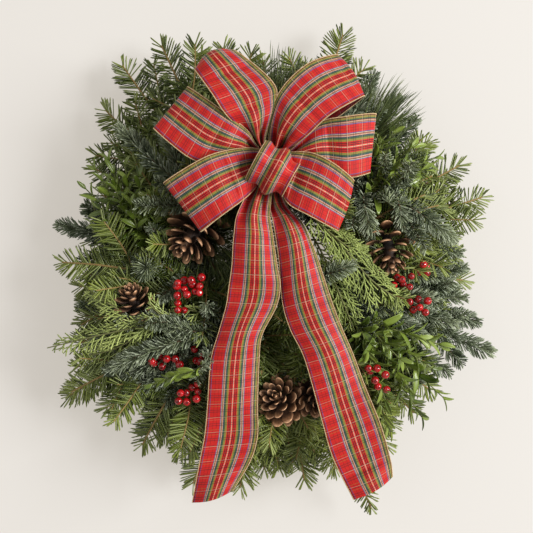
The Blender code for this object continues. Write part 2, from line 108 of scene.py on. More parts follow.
def new_group(name, inputs, outputs):
    """An empty shader group with named float, colour or vector sockets."""
    group = bpy.data.node_groups.new(name, "ShaderNodeTree")
    for socket_name, (kind, value) in inputs.items():
        socket = group.interface.new_socket(socket_name, in_out="INPUT", socket_type=kind)
        if value is not None:
            socket.default_value = value
    for socket_name, kind in outputs.items():
        group.interface.new_socket(socket_name, in_out="OUTPUT", socket_type=kind)
    return group, group.nodes.new("NodeGroupInput").outputs, group.nodes.new("NodeGroupOutput")


def new_material(name):
    material = bpy.data.materials.new(name)
    material.use_nodes = True
    return material, material.node_tree, material.node_tree.nodes["Principled BSDF"]


def add_piece(name, mesh, material, smooth=True, replaces=()):
    """Put a mesh in the scene as a piece that rides on the wreath."""
    piece = bpy.data.objects.new(name, mesh)
    bpy.context.scene.collection.objects.link(piece)
    mesh.materials.append(material)
    if smooth:
        mesh.shade_smooth()
    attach(piece, "root")
    if replaces:
        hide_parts(*replaces)
    return piece


def mesh_of(name, bm):
    """A mesh from a finished bmesh."""
    mesh = bpy.data.meshes.new(name)
    bm.to_mesh(mesh)
    bm.free()
    return mesh


def place_at(x, z, depth):
    """A point beside the wreath's centre, a depth out from the wall."""
    return CENTRE + Vector((x, -depth, z))


def polar(radius, angle, depth):
    """A point at a radius and angle on the wreath's face, a depth out from the wall."""
    turn = math.radians(angle)
    return place_at(radius * math.cos(turn), radius * math.sin(turn), depth)


def lacquered_wire(name, lacquer, bare):
    """Dark lacquer over steel, rubbed through to the metal in small patches."""
    material, tree, shader = new_material(name)
    rub = noise_on(tree, 260.0, 4.0)
    worn = remapped(tree, rub, 0.60, 0.70)
    fill_inputs(tree, shader, {"Base Color": mixed(tree, worn, lacquer, bare), "Metallic": worn,
                               "Roughness": 0.42})
    dented(tree, shader, rub, 0.0002, 0.4)
    return material


def coat(node_names, material):
    """Give nodes that keep their CAD shape their finish."""
    for node_name in node_names:
        for slot in bpy.data.objects[node_name].material_slots:
            slot.material = material


frame_lacquer = lacquered_wire("green lacquered frame wire", (0.016, 0.050, 0.020), (0.35, 0.34, 0.32))
for rail_name, rail_radius in (("outer", OUTER_RADIUS), ("inner", INNER_RADIUS)):
    bm = bmesh.new()
    bmesh.ops.create_circle(bm, segments=10, radius=RAIL_WIRE / 2)
    bmesh.ops.translate(bm, verts=bm.verts, vec=(rail_radius, -RAIL_DEPTH, CENTRE.z))
    bmesh.ops.spin(bm, geom=bm.verts[:] + bm.edges[:], cent=CENTRE, axis=(0, 1, 0),
                   angle=math.tau, steps=120, use_merge=True)
    bmesh.ops.recalc_face_normals(bm, faces=bm.faces)
    add_piece(f"{rail_name}_rail_wire", mesh_of(f"{rail_name}_rail", bm), frame_lacquer,
              replaces=[f"frame_{rail_name}_rail"])
coat([f"frame_brace_{number}" for number in range(1, 5)], frame_lacquer)

# ---------------------------------------------------------------- hanger, binding and tie wires
# Thin soft florist's wire. One long length binds the stems to the rails, another is twisted
# into the hanging loop, and a third ties the bow. They keep the frame's own routes.
florist_wire = lacquered_wire("green florist wire", (0.012, 0.038, 0.016), (0.30, 0.30, 0.29))
coat(("hanger_loop", "binding_wire", "bow_tie_wire"), florist_wire)

# ---------------------------------------------------------------- fir bunches
# Cut tips of flat green fir, wired on in layers that point outwards. Each sprig has a main
# stem with side twigs in one plane, and flat needles in two ranks along all of them.
# lengths are in metres and angles in degrees. "rolls" are the needles' ranks round the twig,
# "close" is how far they close up at its tip, "tip" how much shorter they get there, "pairs"
# the pairs of side twigs, and "side_end" how far along the stem these go
FIR = {"length": 0.0275, "width": 0.00235, "thickness": 0.0009, "spacing": 0.00092, "sweep": 60,
       "rolls": (0, 4, 18), "spread": 9, "twig": 0.0016, "side_angle": 42, "side_share": 0.55,
       "pairs": 1, "curl": 0.0, "tip": 0.30, "side_end": 0.42, "uneven": 0.14, "close": 0.62}
FORWARD = np.array((0.0, -1.0, 0.0))
# stems are bound between the two rails, and nothing grows back past the wall
BINDING_RADIUS = 0.150
BINDING_DEPTH = RAIL_DEPTH + 0.006
WALL_LIMIT = -0.0006


def needle_shape(width, thickness, segments, curl):
    """A slim three-sided blade of unit length along Z, flat side down, curling towards +Y."""
    bm = bmesh.new()
    body = 0.88
    bmesh.ops.create_cone(bm, cap_ends=True, segments=3, radius1=0.40, radius2=0.5, depth=body)
    bmesh.ops.translate(bm, verts=bm.verts, vec=(0, 0, body / 2))
    bmesh.ops.delete(bm, geom=[face for face in bm.faces if face.normal.z < -0.9], context="FACES_ONLY")
    for cut in range(1, segments):
        bmesh.ops.bisect_plane(bm, geom=bm.verts[:] + bm.edges[:] + bm.faces[:],
                               plane_co=(0, 0, body * cut / segments), plane_no=(0, 0, 1))
    top = [face for face in bm.faces if face.normal.z > 0.9]
    tip = bmesh.ops.poke(bm, faces=top)["verts"]
    bmesh.ops.translate(bm, verts=tip, vec=(0, 0, 1 - body))
    bmesh.ops.rotate(bm, verts=bm.verts, cent=(0, 0, 0), matrix=Matrix.Rotation(math.pi / 6, 3, "Z"))
    bmesh.ops.scale(bm, verts=bm.verts, vec=(width, thickness, 1))
    for vert in bm.verts:
        vert.co.y += curl * vert.co.z ** 2
    return bm


def template(bm):
    """The arrays that stamped() copies: the shape's vertices and its triangles."""
    bmesh.ops.triangulate(bm, faces=bm.faces)
    bm.verts.ensure_lookup_table()
    verts = np.array([vert.co[:] for vert in bm.verts])
    faces = np.array([[vert.index for vert in face.verts] for face in bm.faces])
    bm.free()
    return verts, faces


def facing(directions, ups, sizes):
    """Matrices that turn Z along each direction and Y near each up, scaled (x, y, z)."""
    out = directions / np.linalg.norm(directions, axis=1, keepdims=True)
    side = np.cross(ups, out)
    side /= np.maximum(np.linalg.norm(side, axis=1, keepdims=True), 1e-9)
    rise = np.cross(out, side)
    return np.stack([side * sizes[:, 0:1], rise * sizes[:, 1:2], out * sizes[:, 2:3]], axis=2)


def stamped(name, stamps):
    """One mesh with a copy of a template at each stamp: (template, turns, spots, tones, ages)."""
    all_verts, all_faces, reach, tone, age = [], [], [], [], []
    start = 0
    for (verts, faces), turns, spots, tones, ages in stamps:
        moved = np.einsum("nij,vj->nvi", turns, verts) + spots[:, None, :]
        # whatever reaches the wall is pressed flat against it
        moved[..., 1] = np.minimum(moved[..., 1], WALL_LIMIT)
        count, each = len(spots), len(verts)
        all_verts.append(moved.reshape(-1, 3))
        offsets = start + np.arange(count)[:, None, None] * each
        all_faces.append((faces[None] + offsets).reshape(-1, 3))
        span = max(verts[:, 2].max(), 1e-6)
        reach.append(np.tile(verts[:, 2] / span, count))
        tone.append(np.repeat(tones, each))
        age.append(np.repeat(ages, each))
        start += count * each
    points = np.concatenate(all_verts)
    corners = np.concatenate(all_faces)
    mesh = bpy.data.meshes.new(name)
    mesh.vertices.add(len(points))
    mesh.vertices.foreach_set("co", points.ravel())
    mesh.loops.add(corners.size)
    mesh.loops.foreach_set("vertex_index", corners.ravel().astype(np.int32))
    mesh.polygons.add(len(corners))
    mesh.polygons.foreach_set("loop_start", np.arange(0, corners.size, 3, dtype=np.int32))
    mesh.update(calc_edges=True)
    for label, values in (("reach", reach), ("tone", tone), ("age", age)):
        field = mesh.attributes.new(label, "FLOAT", "POINT")
        field.data.foreach_set("value", np.concatenate(values).astype(np.float32))
    mesh.validate()
    return mesh


def travelled(line):
    """How far along a line each of its points is."""
    return np.concatenate([[0], np.cumsum(np.linalg.norm(np.diff(line, axis=0), axis=1))])


def length_of(line):
    return np.linalg.norm(np.diff(line, axis=0), axis=1).sum()


def read_at(wanted, stations, rows):
    """Rows of three numbers, interpolated between their stations."""
    return np.column_stack([np.interp(wanted, stations, rows[:, axis]) for axis in range(3)])


def smooth_line(points, steps=10):
    """A smooth line through a few points, evenly resampled."""
    knots = np.array([tuple(point) for point in points], dtype=float)
    ends = np.vstack([2 * knots[0] - knots[1], knots, 2 * knots[-1] - knots[-2]])
    share = np.linspace(0, 1, steps, endpoint=False)[:, None]
    parts = []
    for a, b, c, d in zip(ends, ends[1:], ends[2:], ends[3:]):
        parts.append(0.5 * (2 * b + (c - a) * share + (2 * a - 5 * b + 4 * c - d) * share ** 2
                            + (3 * b - a - 3 * c + d) * share ** 3))
    line = np.vstack(parts + [knots[-1:]])
    travel = travelled(line)
    return read_at(np.linspace(0, travel[-1], len(line)), travel, line)


def unit(rows):
    return rows / np.maximum(np.linalg.norm(rows, axis=-1, keepdims=True), 1e-12)


class Growth:
    """The stems and leaves of one bunch, gathered up before they become meshes."""

    def __init__(self, seed):
        self.rng = np.random.default_rng(seed)
        self.fresh = 1.0
        self.leaves = []
        self.sticks = []

    def stick(self, line, start_radius, end_radius):
        """A round stem along a line, from short stamped lengths."""
        steps = np.diff(line, axis=0)
        lengths = np.linalg.norm(steps, axis=1)
        radii = np.linspace(start_radius, end_radius, len(steps))
        ups = np.tile((0.31, 0.52, 0.79), (len(steps), 1))
        turns = facing(steps, ups, np.column_stack([radii, radii, lengths * 1.06]))
        self.sticks.append((STICK, turns, line[:-1], np.full(len(steps), 0.5),
                            np.linspace(0, 1, len(steps))))

    def needles(self, shape, kind, line, face, scale=1.0, young=0.0):
        """Needles in ranks along a twig, shorter and closer to it towards the tip."""
        travel = travelled(line)
        total = travel[-1]
        count = max(int(total / kind["spacing"]), 6)
        rng = self.rng
        place = (np.arange(count) + rng.uniform(0.1, 0.9, count)) / count
        where = read_at(place * total, travel, line)
        ahead = unit(read_at(place * total, travel, unit(np.gradient(line, axis=0))))
        lateral = unit(np.cross(ahead, face))
        upward = unit(np.cross(lateral, ahead))
        hand = np.where(rng.random(count) < 0.5, -1.0, 1.0)
        rolls = np.array(kind["rolls"], dtype=float)
        roll = rolls[rng.integers(0, len(rolls), count)] + rng.normal(0, kind["spread"], count)
        roll = np.radians(roll)
        tip = np.clip((place - 0.80) / 0.20, 0, 1)
        sweep = kind["sweep"] * (1 - kind["close"] * tip) + rng.normal(0, 50 * kind["uneven"], count)
        sweep = np.radians(sweep)
        outward = lateral * (hand * np.cos(roll))[:, None] + upward * np.sin(roll)[:, None]
        directions = ahead * np.cos(sweep)[:, None] + outward * np.sin(sweep)[:, None]
        base = np.clip(place / 0.06, 0.55, 1)
        lengths = kind["length"] * scale * base * (1 - kind["tip"] * tip)
        lengths *= 0.95 + kind["uneven"] * rng.uniform(-1, 1, count)
        wide = rng.uniform(0.85, 1.12, count)
        ups = unit(upward - outward * 0.15 + rng.normal(0, 0.16, (count, 3)))
        turns = facing(directions, ups, np.column_stack([wide, np.ones(count), lengths]))
        turns[:, :, 1] *= lengths[:, None] if kind["curl"] else 1
        self.leaves.append((shape, turns, where, rng.random(count),
                            np.clip(young + 0.75 * place ** 3, 0, 1)))

    def sprig(self, shape, kind, points, bare, roll=0.0, size=1.0, young=0.0):
        """A stem through some points, bare at first, with paired side twigs and needles."""
        rng = self.rng
        line = smooth_line(points)
        first = int(len(line) * bare)
        self.stick(line, kind["twig"] * 1.5, kind["twig"] * 0.7)
        leafy = line[first:]
        ahead = unit(np.gradient(leafy, axis=0))
        turn = math.radians(roll)
        across = unit(np.cross(ahead.mean(axis=0), FORWARD))
        face = unit(FORWARD * math.cos(turn) + across * math.sin(turn))
        self.needles(shape, kind, leafy, face, size, young)
        total = length_of(leafy)
        pairs = kind["pairs"]
        for pair in range(pairs):
            for hand in (-1, 1):
                share = (pair + 0.35 + 0.25 * hand + rng.uniform(-0.15, 0.15)) / pairs * kind["side_end"]
                index = int(np.clip(share, 0.02, 0.70) * (len(leafy) - 1))
                left = total * (1 - share)
                length = min(left * kind["side_share"] + 0.018, 0.085) * rng.uniform(0.8, 1.12) * size
                angle = math.radians(kind["side_angle"] + rng.uniform(-8, 8))
                lateral = unit(np.cross(ahead[index], face)) * hand
                lift = face * rng.uniform(-0.16, 0.20)
                start = leafy[index]
                out = unit(ahead[index] * math.cos(angle) + lateral * math.sin(angle) + lift)
                bend = start + out * length * 0.5
                end = start + out * length + ahead[index] * length * 0.14 + lift * length * 0.2
                side = smooth_line([start, bend, end], 5)
                self.stick(side, kind["twig"] * 0.9, kind["twig"] * 0.5)
                self.needles(shape, kind, side, face, size * rng.uniform(0.82, 0.98), young)


bm = bmesh.new()
bmesh.ops.create_cone(bm, cap_ends=False, segments=5, radius1=1, radius2=0.94, depth=1)
bmesh.ops.translate(bm, verts=bm.verts, vec=(0, 0, 0.5))
STICK = template(bm)
FIR_NEEDLE = template(needle_shape(FIR["width"], FIR["thickness"], 1, 0))


def attribute(tree, name):
    return add_node(tree, "ShaderNodeAttribute", attribute_name=name).outputs["Fac"]


def tint_group():
    """Leaf colour from its tone, its age and how far out along the leaf it is."""
    tree, given, out = new_group("leaf tint", {
        "Deep": ("NodeSocketColor", (0.01, 0.04, 0.01, 1)),
        "Middle": ("NodeSocketColor", (0.03, 0.08, 0.02, 1)),
        "Bright": ("NodeSocketColor", (0.10, 0.20, 0.04, 1)),
        "Foot": ("NodeSocketColor", (0.10, 0.14, 0.03, 1)),
        "Foot Share": ("NodeSocketFloat", 0.25),
    }, {"Color": "NodeSocketColor", "Roughness": "NodeSocketFloat"})
    tone = attribute(tree, "tone")
    light = remapped(tree, maths(tree, "MULTIPLY_ADD", tone, 0.6, noise_on(tree, 22.0)), 0.35, 1.25)
    base = mixed(tree, light, given["Deep"], given["Middle"])
    fresh = maths(tree, "MULTIPLY", attribute(tree, "age"), light)
    bright = mixed(tree, fresh, base, given["Bright"])
    foot = remapped(tree, attribute(tree, "reach"), 0.30, 0.0, 0.0, given["Foot Share"])
    fill_inputs(tree, out, {"Color": mixed(tree, foot, bright, given["Foot"]),
                            "Roughness": remapped(tree, tone, 0.0, 1.0, 0.26, 0.46)})
    return tree


LEAF_TINT = tint_group()


def leaf_material(name, deep, middle, bright, foot, under=None, foot_share=0.3):
    """A plant finish from the leaf tint, with its own paler underside where it has one."""
    material, tree, shader = new_material(name)
    tint = add_node(tree, "ShaderNodeGroup", {"Foot Share": foot_share}, node_tree=LEAF_TINT)
    for socket, value in (("Deep", deep), ("Middle", middle), ("Bright", bright), ("Foot", foot)):
        tint.inputs[socket].default_value = (*value, 1)
    colour = tint.outputs["Color"]
    if under:
        pale = remapped(tree, attribute(tree, "tone"), 0.62, 0.75, 0.0, 0.55)
        colour = mixed(tree, pale, colour, under)
    fill_inputs(tree, shader, {"Base Color": colour, "Roughness": tint.outputs["Roughness"]})
    return material


def bark_material(name, dark, light):
    """Young twig bark: fine rings and flecks."""
    material, tree, shader = new_material(name)
    fleck = noise_on(tree, 420.0, 3.0)
    fill_inputs(tree, shader, {"Base Color": mixed(tree, fleck, dark, light), "Roughness": 0.8})
    dented(tree, shader, fleck, 0.0003, 0.6)
    return material


fir_green = leaf_material("green fir needles", (0.018, 0.034, 0.004), (0.120, 0.170, 0.018),
                          (0.370, 0.430, 0.075), (0.20, 0.22, 0.03), under=(0.31, 0.37, 0.15))
fir_bark = bark_material("fir twig bark", (0.15, 0.085, 0.026), (0.38, 0.26, 0.09))


def bound_at(angle):
    """Where a stem at this angle is bound to the rails."""
    return polar(BINDING_RADIUS, angle, BINDING_DEPTH)


def ring_stem(angle, reach, depth, root_depth=None, arch=0.010, turn=0.0):
    """Points of a stem from the rails, forward through the ring and out to a tip."""
    root_reach = reach - BINDING_RADIUS
    root_depth = depth + 0.004 if root_depth is None else root_depth
    start = bound_at(angle - 10 + turn)
    rise = polar(max(root_reach, 0.085) * 0.97 + 0.004, angle - 4 + turn, root_depth * 0.72)
    root = polar(max(root_reach, 0.10) + 0.02, angle - 2 + turn * 0.6, root_depth)
    middle = polar((max(root_reach, 0.10) + reach) / 2 + 0.005, angle + turn * 0.3,
                   (root_depth + depth) / 2 + arch)
    return [start, rise, root, middle, polar(reach, angle, depth)]


# where leaves are snipped away to show a cone, berries or the tails: (x, z, radius, depth kept)
SNIPPED = [
    (-0.102, -0.022, 0.021, 0.112), (-0.172, -0.036, 0.021, 0.112), (-0.100, 0.046, 0.030, 0.112),
    (0.150, 0.026, 0.028, 0.106), (0.011, -0.164, 0.034, 0.096), (0.054, -0.163, 0.028, 0.088),
    (-0.120, -0.115, 0.012, 0.112), (-0.096, -0.112, 0.012, 0.112), (-0.104, -0.150, 0.015, 0.112),
    (0.168, -0.012, 0.013, 0.100), (0.186, -0.046, 0.015, 0.096), (0.135, -0.137, 0.015, 0.108),
    (-0.038, 0.068, 0.022, 0.130), (-0.024, 0.030, 0.036, 0.136), (-0.022, -0.030, 0.036, 0.136),
    (-0.040, -0.100, 0.034, 0.132), (-0.048, -0.165, 0.034, 0.126),
    (-0.058, -0.235, 0.036, 0.120), (0.026, 0.036, 0.026, 0.136),
    (0.040, -0.020, 0.030, 0.134), (0.058, -0.080, 0.034, 0.130), (0.080, -0.140, 0.034, 0.126),
    (0.100, -0.200, 0.036, 0.122), (0.118, -0.252, 0.036, 0.118)]


def snipped(stamps):
    """The stamps whose middle isn't in front of something that has to show."""
    kept = []
    for shape, turns, spots, tones, ages in stamps:
        middle = spots + turns[:, :, 2] * 0.6 - np.array(CENTRE)
        hides = np.zeros(len(spots), dtype=bool)
        for x, z, radius, depth in SNIPPED:
            near = np.hypot(middle[:, 0] - x, middle[:, 2] - z) < radius
            hides |= near & (-middle[:, 1] > depth)
        kept.append((shape, turns[~hides], spots[~hides], tones[~hides], ages[~hides]))
    return kept


def add_bunch(node_name, grown, leaf_finish, bark, label="needles"):
    """Turn what has grown for a bunch into its two pieces: leaves and stems."""
    name = f"{node_name}_{label}"
    add_piece(name, stamped(name, snipped(grown.leaves)), leaf_finish, smooth=False,
              replaces=[node_name])
    name = f"{node_name}_stems"
    add_piece(name, stamped(name, snipped(grown.sticks)), bark)


FILL_REACH = 0.266
FILL_STEP = 0.065
FILL_DEPTH = 0.100
BACKING_REACH = (0.236, 0.252)
BACKING_DEPTH = 0.022
ROLL_RANGE = 25


def grow_bunch(shape, kind, seed, tips, extra, young):
    """A bunch with a sprig at each listed tip, more of them fanned in between, set back and
    forward in layers, and thinner ones against the wall behind."""
    grown = Growth(seed)
    rng = grown.rng
    for angle, reach, depth in tips:
        grown.sprig(shape, kind, ring_stem(angle, reach, depth), 0.45,
                    rng.uniform(-ROLL_RANGE, ROLL_RANGE), 1.0, young)
    middle = sum(tip[0] for tip in tips) / len(tips)
    first = sum(tip[2] for tip in tips) / len(tips)
    for number in range(extra):
        share = (number + 0.5) / extra
        angle = middle + rng.uniform(-17, 17)
        reach = FILL_REACH - FILL_STEP * share + rng.uniform(-0.012, 0.012)
        depth = first + (FILL_DEPTH - first) * share * 0.85 + rng.uniform(-0.006, 0.006)
        grown.sprig(shape, kind, ring_stem(angle, reach, depth, turn=rng.uniform(-20, 20)), 0.40,
                    rng.uniform(-ROLL_RANGE, ROLL_RANGE), 0.95, young)
    backing = {**kind, "spacing": kind["spacing"] * 1.35}
    for number in range(extra // 3):
        angle = middle + (number - 1) * 11 + rng.uniform(-4, 4)
        stem = ring_stem(angle, rng.uniform(*BACKING_REACH), BACKING_DEPTH, root_depth=0.026, arch=0.004)
        grown.sprig(shape, backing, stem, 0.35, rng.uniform(-12, 12))
    return grown


def lay_over(grown, shape, kind, sprigs, young):
    """Sprigs laid over the front, each through its own points, tied down to the rails."""
    for points, roll in sprigs:
        foot = bound_at(math.degrees(math.atan2(points[0][1], points[0][0])))
        line = [foot] + [place_at(*point) for point in points]
        grown.sprig(shape, kind, line, 0.40, roll, 1.0, young)


def tie_down(grown, angle, foot, thick, thin):
    """A bare stem from the rails to the foot of a sprig."""
    grown.stick(smooth_line([bound_at(angle), foot]), thick, thin)


# node, seed, the tips that show (angle, reach, depth), sprigs between them, how young they are
FIR_BUNCHES = [
    ("fir_bunch_right", 11, [(19, 0.300, 0.040), (29, 0.290, 0.035), (12, 0.250, 0.050),
                             (39, 0.268, 0.050)], 12, 0.1),
    ("fir_bunch_top", 12, [(102, 0.304, 0.045), (92, 0.280, 0.035)], 7, 0.1),
    ("fir_bunch_upper_left", 13, [(126, 0.340, 0.035), (136, 0.308, 0.040), (150, 0.272, 0.045),
                                  (161, 0.250, 0.045)], 9, 0.0),
    ("fir_bunch_lower_left", 14, [(212, 0.318, 0.040), (201, 0.278, 0.035), (220, 0.286, 0.045)], 7, 0.1),
    ("fir_bunch_bottom_left", 15, [(250, 0.305, 0.040), (236, 0.268, 0.045), (257, 0.285, 0.035)], 7, 0.0),
    ("fir_bunch_bottom", 16, [(279, 0.284, 0.045), (268, 0.268, 0.035)], 7, 0.3),
    ("fir_bunch_lower_right", 17, [(315, 0.270, 0.045), (303, 0.282, 0.040), (323, 0.268, 0.040)], 7, 0.2),
    ("fir_bunch_right_middle", 18, [(357, 0.258, 0.040), (5, 0.246, 0.055)], 7, 0.1),
    ("fir_bunch_top_right", 19, [(73, 0.330, 0.040), (80, 0.275, 0.045)], 7, 0.5),
    ("fir_bunch_top_left", 20, [(116, 0.332, 0.050), (108, 0.300, 0.055)], 7, 0.0),
    ("fir_bunch_bottom_middle", 21, [(262, 0.292, 0.050), (272, 0.262, 0.055)], 7, 0.3),
    ("fir_bunch_bottom_right", 22, [(297, 0.296, 0.055), (288, 0.276, 0.050)], 7, 0.4),
    ("fir_bunch_left_of_tails", 23, [(246, 0.262, 0.070), (256, 0.245, 0.066)], 3, 0.1),
]
# single sprigs laid over the others: points (x, z, depth) from foot to tip, and roll
FIR_FRONT = {
    "fir_bunch_lower_left": [
        ([(-0.130, -0.030, 0.060), (-0.165, -0.004, 0.100), (-0.215, 0.006, 0.104),
          (-0.270, 0.010, 0.082)], 8),
        ([(-0.120, -0.020, 0.050), (-0.160, -0.020, 0.084), (-0.205, -0.016, 0.080),
          (-0.252, -0.022, 0.060)], 4),
        ([(-0.130, -0.100, 0.070), (-0.175, -0.118, 0.096), (-0.215, -0.135, 0.090),
          (-0.262, -0.160, 0.066)], -6)],
    "fir_bunch_bottom_left": [
        ([(-0.095, -0.130, 0.075), (-0.128, -0.160, 0.096), (-0.148, -0.192, 0.090),
          (-0.168, -0.228, 0.070)], 5)],
}
# one narrow sprig without side twigs reaches out from under the right tail
TAIL_SPRIG = [(0.075, -0.170, 0.060), (0.096, -0.225, 0.066), (0.116, -0.275, 0.062),
              (0.133, -0.316, 0.052)]
for node_name, seed, tips, extra, young in FIR_BUNCHES:
    grown = grow_bunch(FIR_NEEDLE, FIR, seed, tips, extra, young)
    lay_over(grown, FIR_NEEDLE, FIR, FIR_FRONT.get(node_name, []), young + 0.2)
    if node_name == "fir_bunch_bottom_right":
        lay_over(grown, FIR_NEEDLE, {**FIR, "pairs": 0, "length": 0.020}, [(TAIL_SPRIG, 30)], 0.5)
    add_bunch(node_name, grown, fir_green, fir_bark)

# ---------------------------------------------------------------- noble fir bunches
# Blue-grey fir tips with thick, curved needles that sweep up off the twig. The wax bloom
# on them makes the twigs look frosted.
NOBLE = {"length": 0.0185, "width": 0.00190, "thickness": 0.0010, "spacing": 0.00038, "sweep": 52,
         "rolls": (-15, 5, 28, 52, 78), "spread": 8, "twig": 0.0016, "side_angle": 38,
         "side_share": 0.46, "pairs": 1, "curl": 0.30, "tip": 0.40, "side_end": 0.34,
         "uneven": 0.07, "close": 0.30}
NOBLE_NEEDLE = template(needle_shape(NOBLE["width"], NOBLE["thickness"] / 0.016, 2, NOBLE["curl"]))
noble_blue = leaf_material("blue grey fir needles", (0.026, 0.042, 0.022), (0.150, 0.195, 0.118),
                           (0.370, 0.420, 0.235), (0.12, 0.14, 0.05), under=(0.48, 0.54, 0.42),
                           foot_share=0.2)
noble_bark = bark_material("noble fir bark", (0.06, 0.035, 0.018), (0.18, 0.11, 0.05))
GOLDEN_TURN = math.radians(137.508)
# node, seed, the tips that show (angle, reach, depth), sprigs between them, how young they are
NOBLE_BUNCHES = [
    ("noble_bunch_right_low", 31, [(346, 0.284, 0.045), (354, 0.248, 0.050)], 4, 0.1),
    ("noble_bunch_top_right", 32, [(62, 0.292, 0.055), (54, 0.284, 0.045), (46, 0.276, 0.050)], 4, 0.0),
    ("noble_bunch_left", 33, [(168, 0.290, 0.040), (191, 0.258, 0.050)], 4, 0.2),
    ("noble_bunch_lower_left", 34, [(231, 0.276, 0.045), (222, 0.258, 0.055), (238, 0.256, 0.060)], 4, 0.0),
    ("noble_bunch_lower_right", 35, [(339.5, 0.314, 0.042), (330, 0.272, 0.050)], 4, 0.3),
    ("noble_bunch_under_bow_right", 36, [(66, 0.255, 0.085), (80, 0.250, 0.080)], 2, 0.0),
    ("noble_bunch_upper_left", 37, [(137, 0.262, 0.112), (127, 0.235, 0.100)], 0, 0.6),
    ("noble_bunch_left_low", 38, [(212, 0.240, 0.098), (203, 0.255, 0.085), (222, 0.225, 0.095)], 2, 0.2),
    ("noble_bunch_lower_inner", 39, [(216, 0.190, 0.075)], 0, 0.0),
    ("noble_bunch_bottom_inner", 40, [(288, 0.200, 0.075), (300, 0.210, 0.080)], 0, 0.0),
]
# shorter sprigs point inwards and fill the middle of the ring: the angle and depth of each
INWARD = {
    "noble_bunch_lower_inner": [(168, 0.036), (184, 0.044), (200, 0.040), (214, 0.055), (228, 0.035),
                                (242, 0.048)],
    "noble_bunch_bottom_inner": [(262, 0.040), (276, 0.055), (290, 0.036), (306, 0.050), (325, 0.040),
                                 (345, 0.046)],
}
# silvery sprigs laid over the front of the wreath: points (x, z, depth) from foot to tip, and roll
NOBLE_FRONT = {
    "noble_bunch_left_low": [
        ([(-0.062, -0.078, 0.085), (-0.100, -0.084, 0.128), (-0.150, -0.100, 0.136),
          (-0.204, -0.125, 0.124)], 20),
        ([(-0.052, -0.074, 0.080), (-0.080, -0.078, 0.122), (-0.110, -0.073, 0.136),
          (-0.138, -0.064, 0.132)], -20)],
    "noble_bunch_top_right": [
        ([(0.116, 0.108, 0.085), (0.116, 0.088, 0.118), (0.120, 0.064, 0.121), (0.128, 0.042, 0.114)], 25),
        ([(0.148, 0.108, 0.085), (0.158, 0.090, 0.116), (0.163, 0.070, 0.120), (0.166, 0.052, 0.114)], -10),
        ([(0.156, 0.088, 0.080), (0.180, 0.076, 0.114), (0.206, 0.058, 0.112), (0.232, 0.040, 0.094)], 15)],
    "noble_bunch_bottom_inner": [
        ([(0.050, -0.012, 0.090), (0.066, -0.006, 0.124), (0.084, 0.000, 0.132), (0.100, 0.006, 0.130)], 10)],
}


def rosette(grown, x, z, depth, size, count):
    """A twig that ends towards the viewer, so that its needles spread like a star."""
    rng = grown.rng
    middle = np.array(CENTRE) + (x, -depth, z)
    twig = smooth_line([middle + (0.02, 0.06, -0.01), middle + (0.004, 0.03, 0), middle])
    grown.stick(twig, 0.002, 0.0012)
    around = np.arange(count) * GOLDEN_TURN
    lean = np.radians(np.linspace(35, 98, count))
    outward = np.column_stack([np.cos(around), np.zeros(count), np.sin(around)])
    directions = outward * np.sin(lean)[:, None] + FORWARD * np.cos(lean)[:, None]
    where = middle + np.column_stack([np.zeros(count), np.linspace(0, 0.014, count), np.zeros(count)])
    lengths = size * rng.uniform(0.85, 1.08, count)
    turns = facing(directions, -outward, np.column_stack([np.full(count, 1.1), lengths, lengths]))
    grown.leaves.append((NOBLE_NEEDLE, turns, where, rng.random(count), np.full(count, 0.9)))


for node_name, seed, tips, extra, young in NOBLE_BUNCHES:
    grown = grow_bunch(NOBLE_NEEDLE, NOBLE, seed, tips, extra, young)
    if node_name == "noble_bunch_left":
        rosette(grown, -0.158, 0.004, 0.116, 0.024, 90)
    lay_over(grown, NOBLE_NEEDLE, NOBLE, NOBLE_FRONT.get(node_name, []), 0.5)
    for angle, depth in INWARD.get(node_name, []):
        stem = [bound_at(angle + 6), polar(0.120, angle + 3, depth * 0.6), polar(0.080, angle, depth),
                polar(0.015, angle - 12, depth + 0.006)]
        grown.sprig(NOBLE_NEEDLE, NOBLE, stem, 0.25, grown.rng.uniform(-20, 20))
    add_bunch(node_name, grown, noble_blue, noble_bark)

# ---------------------------------------------------------------- pine bunches
# Tips of a long-needled pine. The needles leave the twig's end in a loose fan.
PINE_NEEDLE = template(needle_shape(0.0013, 0.0009 / 0.085, 4, 0.16))
pine_green = leaf_material("dark pine needles", (0.014, 0.026, 0.007), (0.085, 0.120, 0.034),
                           (0.220, 0.270, 0.090), (0.10, 0.12, 0.03), foot_share=0.2)


def pine_brush(grown, start, end, count, length, spread):
    """A twig with a fan of long needles round its end."""
    rng = grown.rng
    line = smooth_line([start, start + (end - start) * 0.5 + Vector((0, -0.006, 0)), end])
    grown.stick(line, 0.0026, 0.0018)
    ahead = unit(np.array(end - start))
    side = unit(np.cross(ahead, FORWARD))
    rise = np.cross(side, ahead)
    share = rng.random(count) ** 0.7
    where = np.array(start) + (np.array(end) - np.array(start)) * (0.55 + 0.45 * share)[:, None]
    around = rng.uniform(0, math.tau, count)
    lean = np.radians(spread * np.sqrt(rng.uniform(0.02, 1, count)))
    outward = side * np.cos(around)[:, None] * 1.25 + rise * np.sin(around)[:, None] * 0.75
    directions = ahead * np.cos(lean)[:, None] + outward * np.sin(lean)[:, None]
    lengths = length * rng.uniform(0.72, 1.05, count)
    sizes = np.column_stack([np.ones(count), lengths, lengths])
    ups = unit(-outward + rng.normal(0, 0.3, (count, 3)))
    grown.leaves.append((PINE_NEEDLE, facing(directions, ups, sizes), where, rng.random(count),
                         rng.random(count)))


